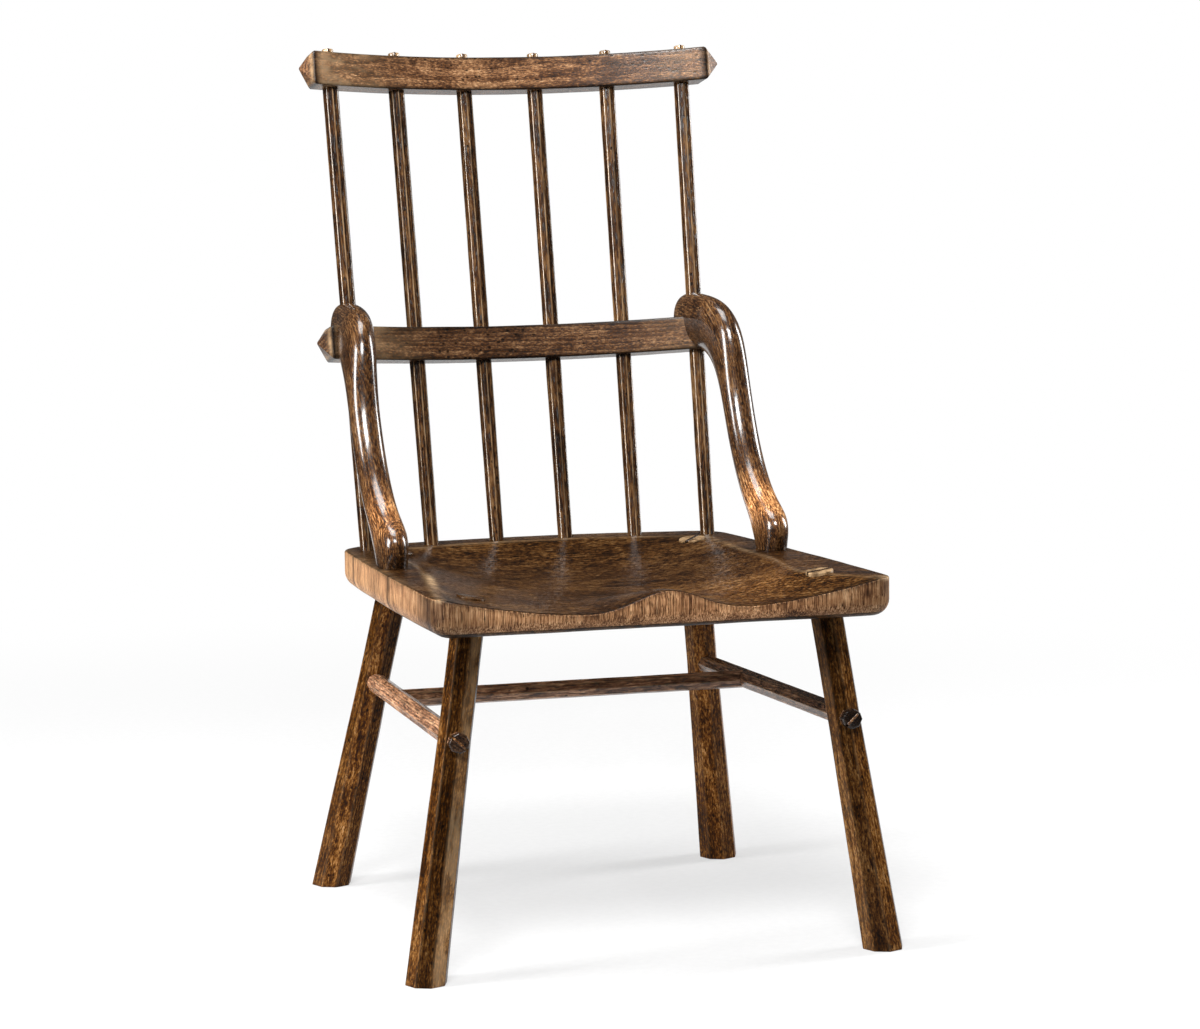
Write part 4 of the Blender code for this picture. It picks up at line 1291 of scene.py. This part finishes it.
def oak(name, level, contrast=1.0, gloss=0.22, specular=0.5, coat=0.3, wear_and_sheen=0.6, figure=0.2,
        lay=(1.0, 1.0, 0.14), saturation=1.0, bias=0.0, spots=0.9, polish=0.12):
    """Dark stained oak under lacquer: streaks, fibre, growth rings, pores, specks, and worn edges with painted
    highlights and sheen.
    """
    material, graph, shader = new_material(name)
    place = graph.add("ShaderNodeAttribute", attribute_name="grain").outputs["Vector"]
    worn_and_sheen = graph.add("ShaderNodeAttribute", attribute_name="wear_and_sheen").outputs["Fac"]
    piece = graph.add("ShaderNodeAttribute", attribute_name="tone").outputs["Fac"]

    swaying = {"Vector": graph.stretch(place, SWAY), "Scale": 1.0, "Detail": 3.0}
    slow = graph.add("ShaderNodeTexNoise", swaying).outputs["Color"]
    centred = graph.vectors("SUBTRACT", slow, (0.5, 0.5, 0.5))
    bent = graph.vectors("ADD", place, graph.stretch(centred, SWAY_WIDTH))

    rings = graph.add(
        "ShaderNodeTexWave",
        {
            "Vector": graph.stretch(bent, RINGS_ALONG),
            "Scale": 90.0,
            "Distortion": 3.0,
            "Detail": 4.0,
            "Detail Scale": 1.6,
            "Detail Roughness": 0.7,
        },
        wave_type="RINGS",
        rings_direction="Z",
        wave_profile="SAW",
    ).outputs["Fac"]
    laid = graph.stretch(bent, lay)
    fibre = graph.noise(laid, *FIBRE)
    others = [graph.noise(laid, *STREAK), graph.noise(bent, *BLOTCH), graph.noise(bent, *BROAD)]
    shares = [figure * contrast, *(share * contrast for share in LAYER_SHARES)]
    tone = 0.5 - 0.5 * sum(shares) + bias
    for layer, share in zip([rings, fibre, *others], shares):
        tone = graph.maths("ADD", graph.maths("MULTIPLY", layer, share), tone)
    colour = graph.ramp(tone, STAIN)

    pores = graph.span(graph.noise(laid, *PORES), *PORE_RANGE)
    colour = graph.mix(graph.maths("MULTIPLY", pores, PORE_DARK), colour, (*DARK, 1.0))
    cells = graph.add("ShaderNodeTexVoronoi", {"Vector": graph.stretch(bent, SPECKS), "Scale": 1.0})
    chance = graph.add("ShaderNodeSeparateColor", {"Color": cells.outputs["Color"]}).outputs[0]
    size = graph.span(cells.outputs["Distance"], *SPECK_SIZE)
    spot = graph.maths("MULTIPLY", size, graph.span(chance, *SPECK_CHANCE))
    spot = graph.maths("MULTIPLY", spot, spots)
    colour = graph.mix(spot, colour, (*DARK, 1.0))

    patchy = graph.span(graph.noise(bent, *PATCHES), *PATCH_RANGE)
    colour = graph.add("ShaderNodeHueSaturation", {"Saturation": saturation, "Color": colour}).outputs[0]
    strength = graph.maths("MULTIPLY", piece, level)
    colour = graph.add("ShaderNodeVectorMath", {0: colour, "Scale": strength}, operation="SCALE").outputs[0]
    # Lighter for real wear, and for painted highlights and sheen
    lightened = graph.maths("MULTIPLY", graph.maths("MULTIPLY", worn_and_sheen, patchy), wear_and_sheen, clamp=True)
    colour = graph.mix(lightened, colour, (*WEAR_AND_SHEEN_COLOUR, 1.0))

    rough = graph.span(fibre, *FIBRE_RANGE, gloss + ROUGHER, gloss - SMOOTHER)
    rough = graph.maths("ADD", rough, graph.maths("MULTIPLY", pores, PORE_ROUGH))
    raised = graph.maths("MULTIPLY", fibre, FIBRE_RELIEF)
    sunk = graph.maths("MULTIPLY", pores, PORE_RELIEF)
    height = graph.maths("SUBTRACT", graph.maths("SUBTRACT", raised, sunk), spot)
    bump = graph.add("ShaderNodeBump", {"Height": height, **RELIEF})
    graph.feed(shader, {
        "Base Color": colour,
        "Roughness": rough,
        "Normal": bump.outputs["Normal"],
        "Specular IOR Level": specular,
        "Coat Weight": coat,
        "Coat Roughness": polish,
    })
    return material


materials = {
    "seat": oak(
        "seat_oak_top", level=0.27, contrast=1.35, gloss=0.32, specular=0.07, coat=0.0, wear_and_sheen=0.35,
        lay=(0.9, 1.2, 0.36), saturation=1.08,
    ),
    "seat_edge": oak(
        "seat_oak_edge", level=1.38, contrast=1.05, gloss=0.45, specular=0.10, coat=0.0, figure=0.0,
        lay=(1.8, 0.05, 1.8), saturation=0.92, bias=0.12, spots=0.25,
    ),
    # The legs' low level is partly painted shade, as the seat shades them
    "leg": oak(
        "leg_oak", level=0.44, contrast=1.05, gloss=0.26, specular=0.06, coat=0.0, wear_and_sheen=0.22, saturation=1.08,
        lay=(1.3, 1.3, 0.40),
    ),
    "stretcher": oak(
        "stretcher_oak", level=1.05, contrast=0.75, gloss=0.20, specular=0.3, coat=0.1, wear_and_sheen=0.3,
        saturation=0.84,
    ),
    "arm": oak(
        "arm_oak", level=0.44, contrast=1.15, gloss=0.20, specular=0.25, coat=0.6, polish=0.13,
        lay=(1.5, 1.5, 0.30),
    ),
    "spindle": oak("spindle_oak", level=0.36, contrast=1.15, gloss=0.12, specular=0.5, coat=0.3, wear_and_sheen=0.6),
    "rail": oak(
        "rail_oak", level=0.85, contrast=1.0, gloss=0.25, specular=0.22, coat=0.0, lay=(1.6, 1.6, 0.50),
        saturation=0.92,
    ),
    "wedge": oak("wedge_oak", level=0.9),
}


# Studio

def make_camera():
    forward = VIEW_LEVEL * math.cos(CAMERA_PITCH) + UP * math.sin(CAMERA_PITCH)
    flat = forward.cross(UP).normalized()
    upright = flat.cross(forward).normalized()
    right = flat * math.cos(CAMERA_ROLL) + upright * math.sin(CAMERA_ROLL)
    up = upright * math.cos(CAMERA_ROLL) - flat * math.sin(CAMERA_ROLL)
    forward = (forward + right * CAMERA_OFF_AXIS[0] + up * CAMERA_OFF_AXIS[1]).normalized()
    right = (right - forward * right.dot(forward)).normalized()
    up = right.cross(forward)
    data = bpy.data.cameras.new("camera")
    data.lens = CAMERA_LENS
    camera = placed("camera", data)
    turn = Matrix((right, up, -forward)).transposed()
    camera.matrix_world = Matrix.Translation(CAMERA_PLACE) @ turn.to_4x4()
    bpy.context.scene.camera = camera


def make_lamp(name, place, size, power):
    data = bpy.data.lights.new(name, "AREA")
    data.shape = "RECTANGLE"
    data.size, data.size_y = size
    data.energy = power
    lamp = placed(name, data)
    lamp.location = place
    lamp.rotation_euler = (LAMP_TARGET - Vector(place)).to_track_quat("-Z", "Y").to_euler()


def make_floor():
    """A white paper sweep along the view, rising at its far end; near the chair it shows the shadow."""
    across = Vector((VIEW_LEVEL.y, -VIEW_LEVEL.x, 0.0))
    run = [(between(SWEEP_START, SWEEP_END, i / SWEEP_ROWS), 0.0) for i in range(SWEEP_ROWS + 1)]
    for out, up in quarter(SWEEP_RISE_STEPS, first=1):
        run.append((SWEEP_END + SWEEP_RISE * out, SWEEP_RISE * up))
    points = []
    for distance, z in run:
        half = SWEEP_HALF_WIDTH + SWEEP_WIDENS * (distance - SWEEP_START)
        for column in range(SWEEP_COLUMNS + 1):
            out = half * (2 * column / SWEEP_COLUMNS - 1)
            points.append(VIEW_LEVEL * distance + across * out + UP * z)
    mesh = raw_mesh("floor", points, grid_faces(len(run) - 1, SWEEP_COLUMNS))
    mesh.shade_smooth()
    floor = placed("floor", mesh)
    paper, graph, shader = new_material("floor_paper")
    path = graph.add("ShaderNodeLightPath")
    seen = path.outputs["Is Camera Ray"]
    for ray in ("Is Glossy Ray", "Is Transmission Ray"):
        seen = graph.maths("MAXIMUM", seen, path.outputs[ray])
    place = graph.add("ShaderNodeTexCoord").outputs["Object"]
    reach = graph.add("ShaderNodeVectorMath", {0: place}, operation="LENGTH").outputs["Value"]
    fibres = graph.noise(place, *PAPER_FIBRES)
    shade = graph.span(fibres, *FIBRE_RANGE, *PAPER_SHADES)
    grey = graph.add("ShaderNodeCombineColor", {0: shade, 1: shade, 2: shade}).outputs[0]
    graph.feed(shader, {"Base Color": grey, "Roughness": 0.9, "Specular IOR Level": 0.1})
    glow = graph.add("ShaderNodeEmission", {"Color": (1.0, 1.0, 1.0, 1.0), "Strength": 1.0})
    white = graph.maths("MULTIPLY", seen, graph.span(reach, *WHITE_REACH, SHEET_WHITE, 1.0))
    blend = graph.add("ShaderNodeMixShader", {0: white, 1: shader.outputs[0], 2: glow.outputs[0]})
    graph.feed(graph.tree.nodes["Material Output"], {"Surface": blend.outputs[0]})
    floor.data.materials.append(paper)


def make_studio():
    scene = bpy.context.scene
    scene.view_settings.view_transform = "Standard"
    for name, place, size, power in LAMPS:
        make_lamp(name, place, size, power)
    world = bpy.data.worlds.new("studio")
    world.use_nodes = True
    scene.world = world
    background = world.node_tree.nodes["Background"]
    background.inputs["Color"].default_value = WORLD_COLOUR
    background.inputs["Strength"].default_value = WORLD_LEVEL
    make_floor()


make_camera()
make_studio()
make_seat(SEAT_SEED)
seed = FRAME_SEED
for side_name, side in SIDES:
    for place, plan, turn in (("front", FRONT_LEG, FRONT_WEDGE_TURN), ("rear", REAR_LEG, REAR_WEDGE_TURN)):
        make_leg(place, side_name, plan, side, turn, seed)
        seed += 1
    make_side_stretcher(side_name, side, seed)
    make_arm(side_name, side, seed + 1)
    seed += 2
    for number in range(1, len(SPINDLE_SEAT_X) + 1):
        make_spindle(number, side_name, side, seed)
        seed += 1
make_medial_stretcher(MEDIAL_SEED)
make_rail("arm_rail", ARM_RAIL_Z, ARM_RAIL_SEED)
make_rail("crest_rail", CREST_RAIL_Z, CREST_RAIL_SEED)
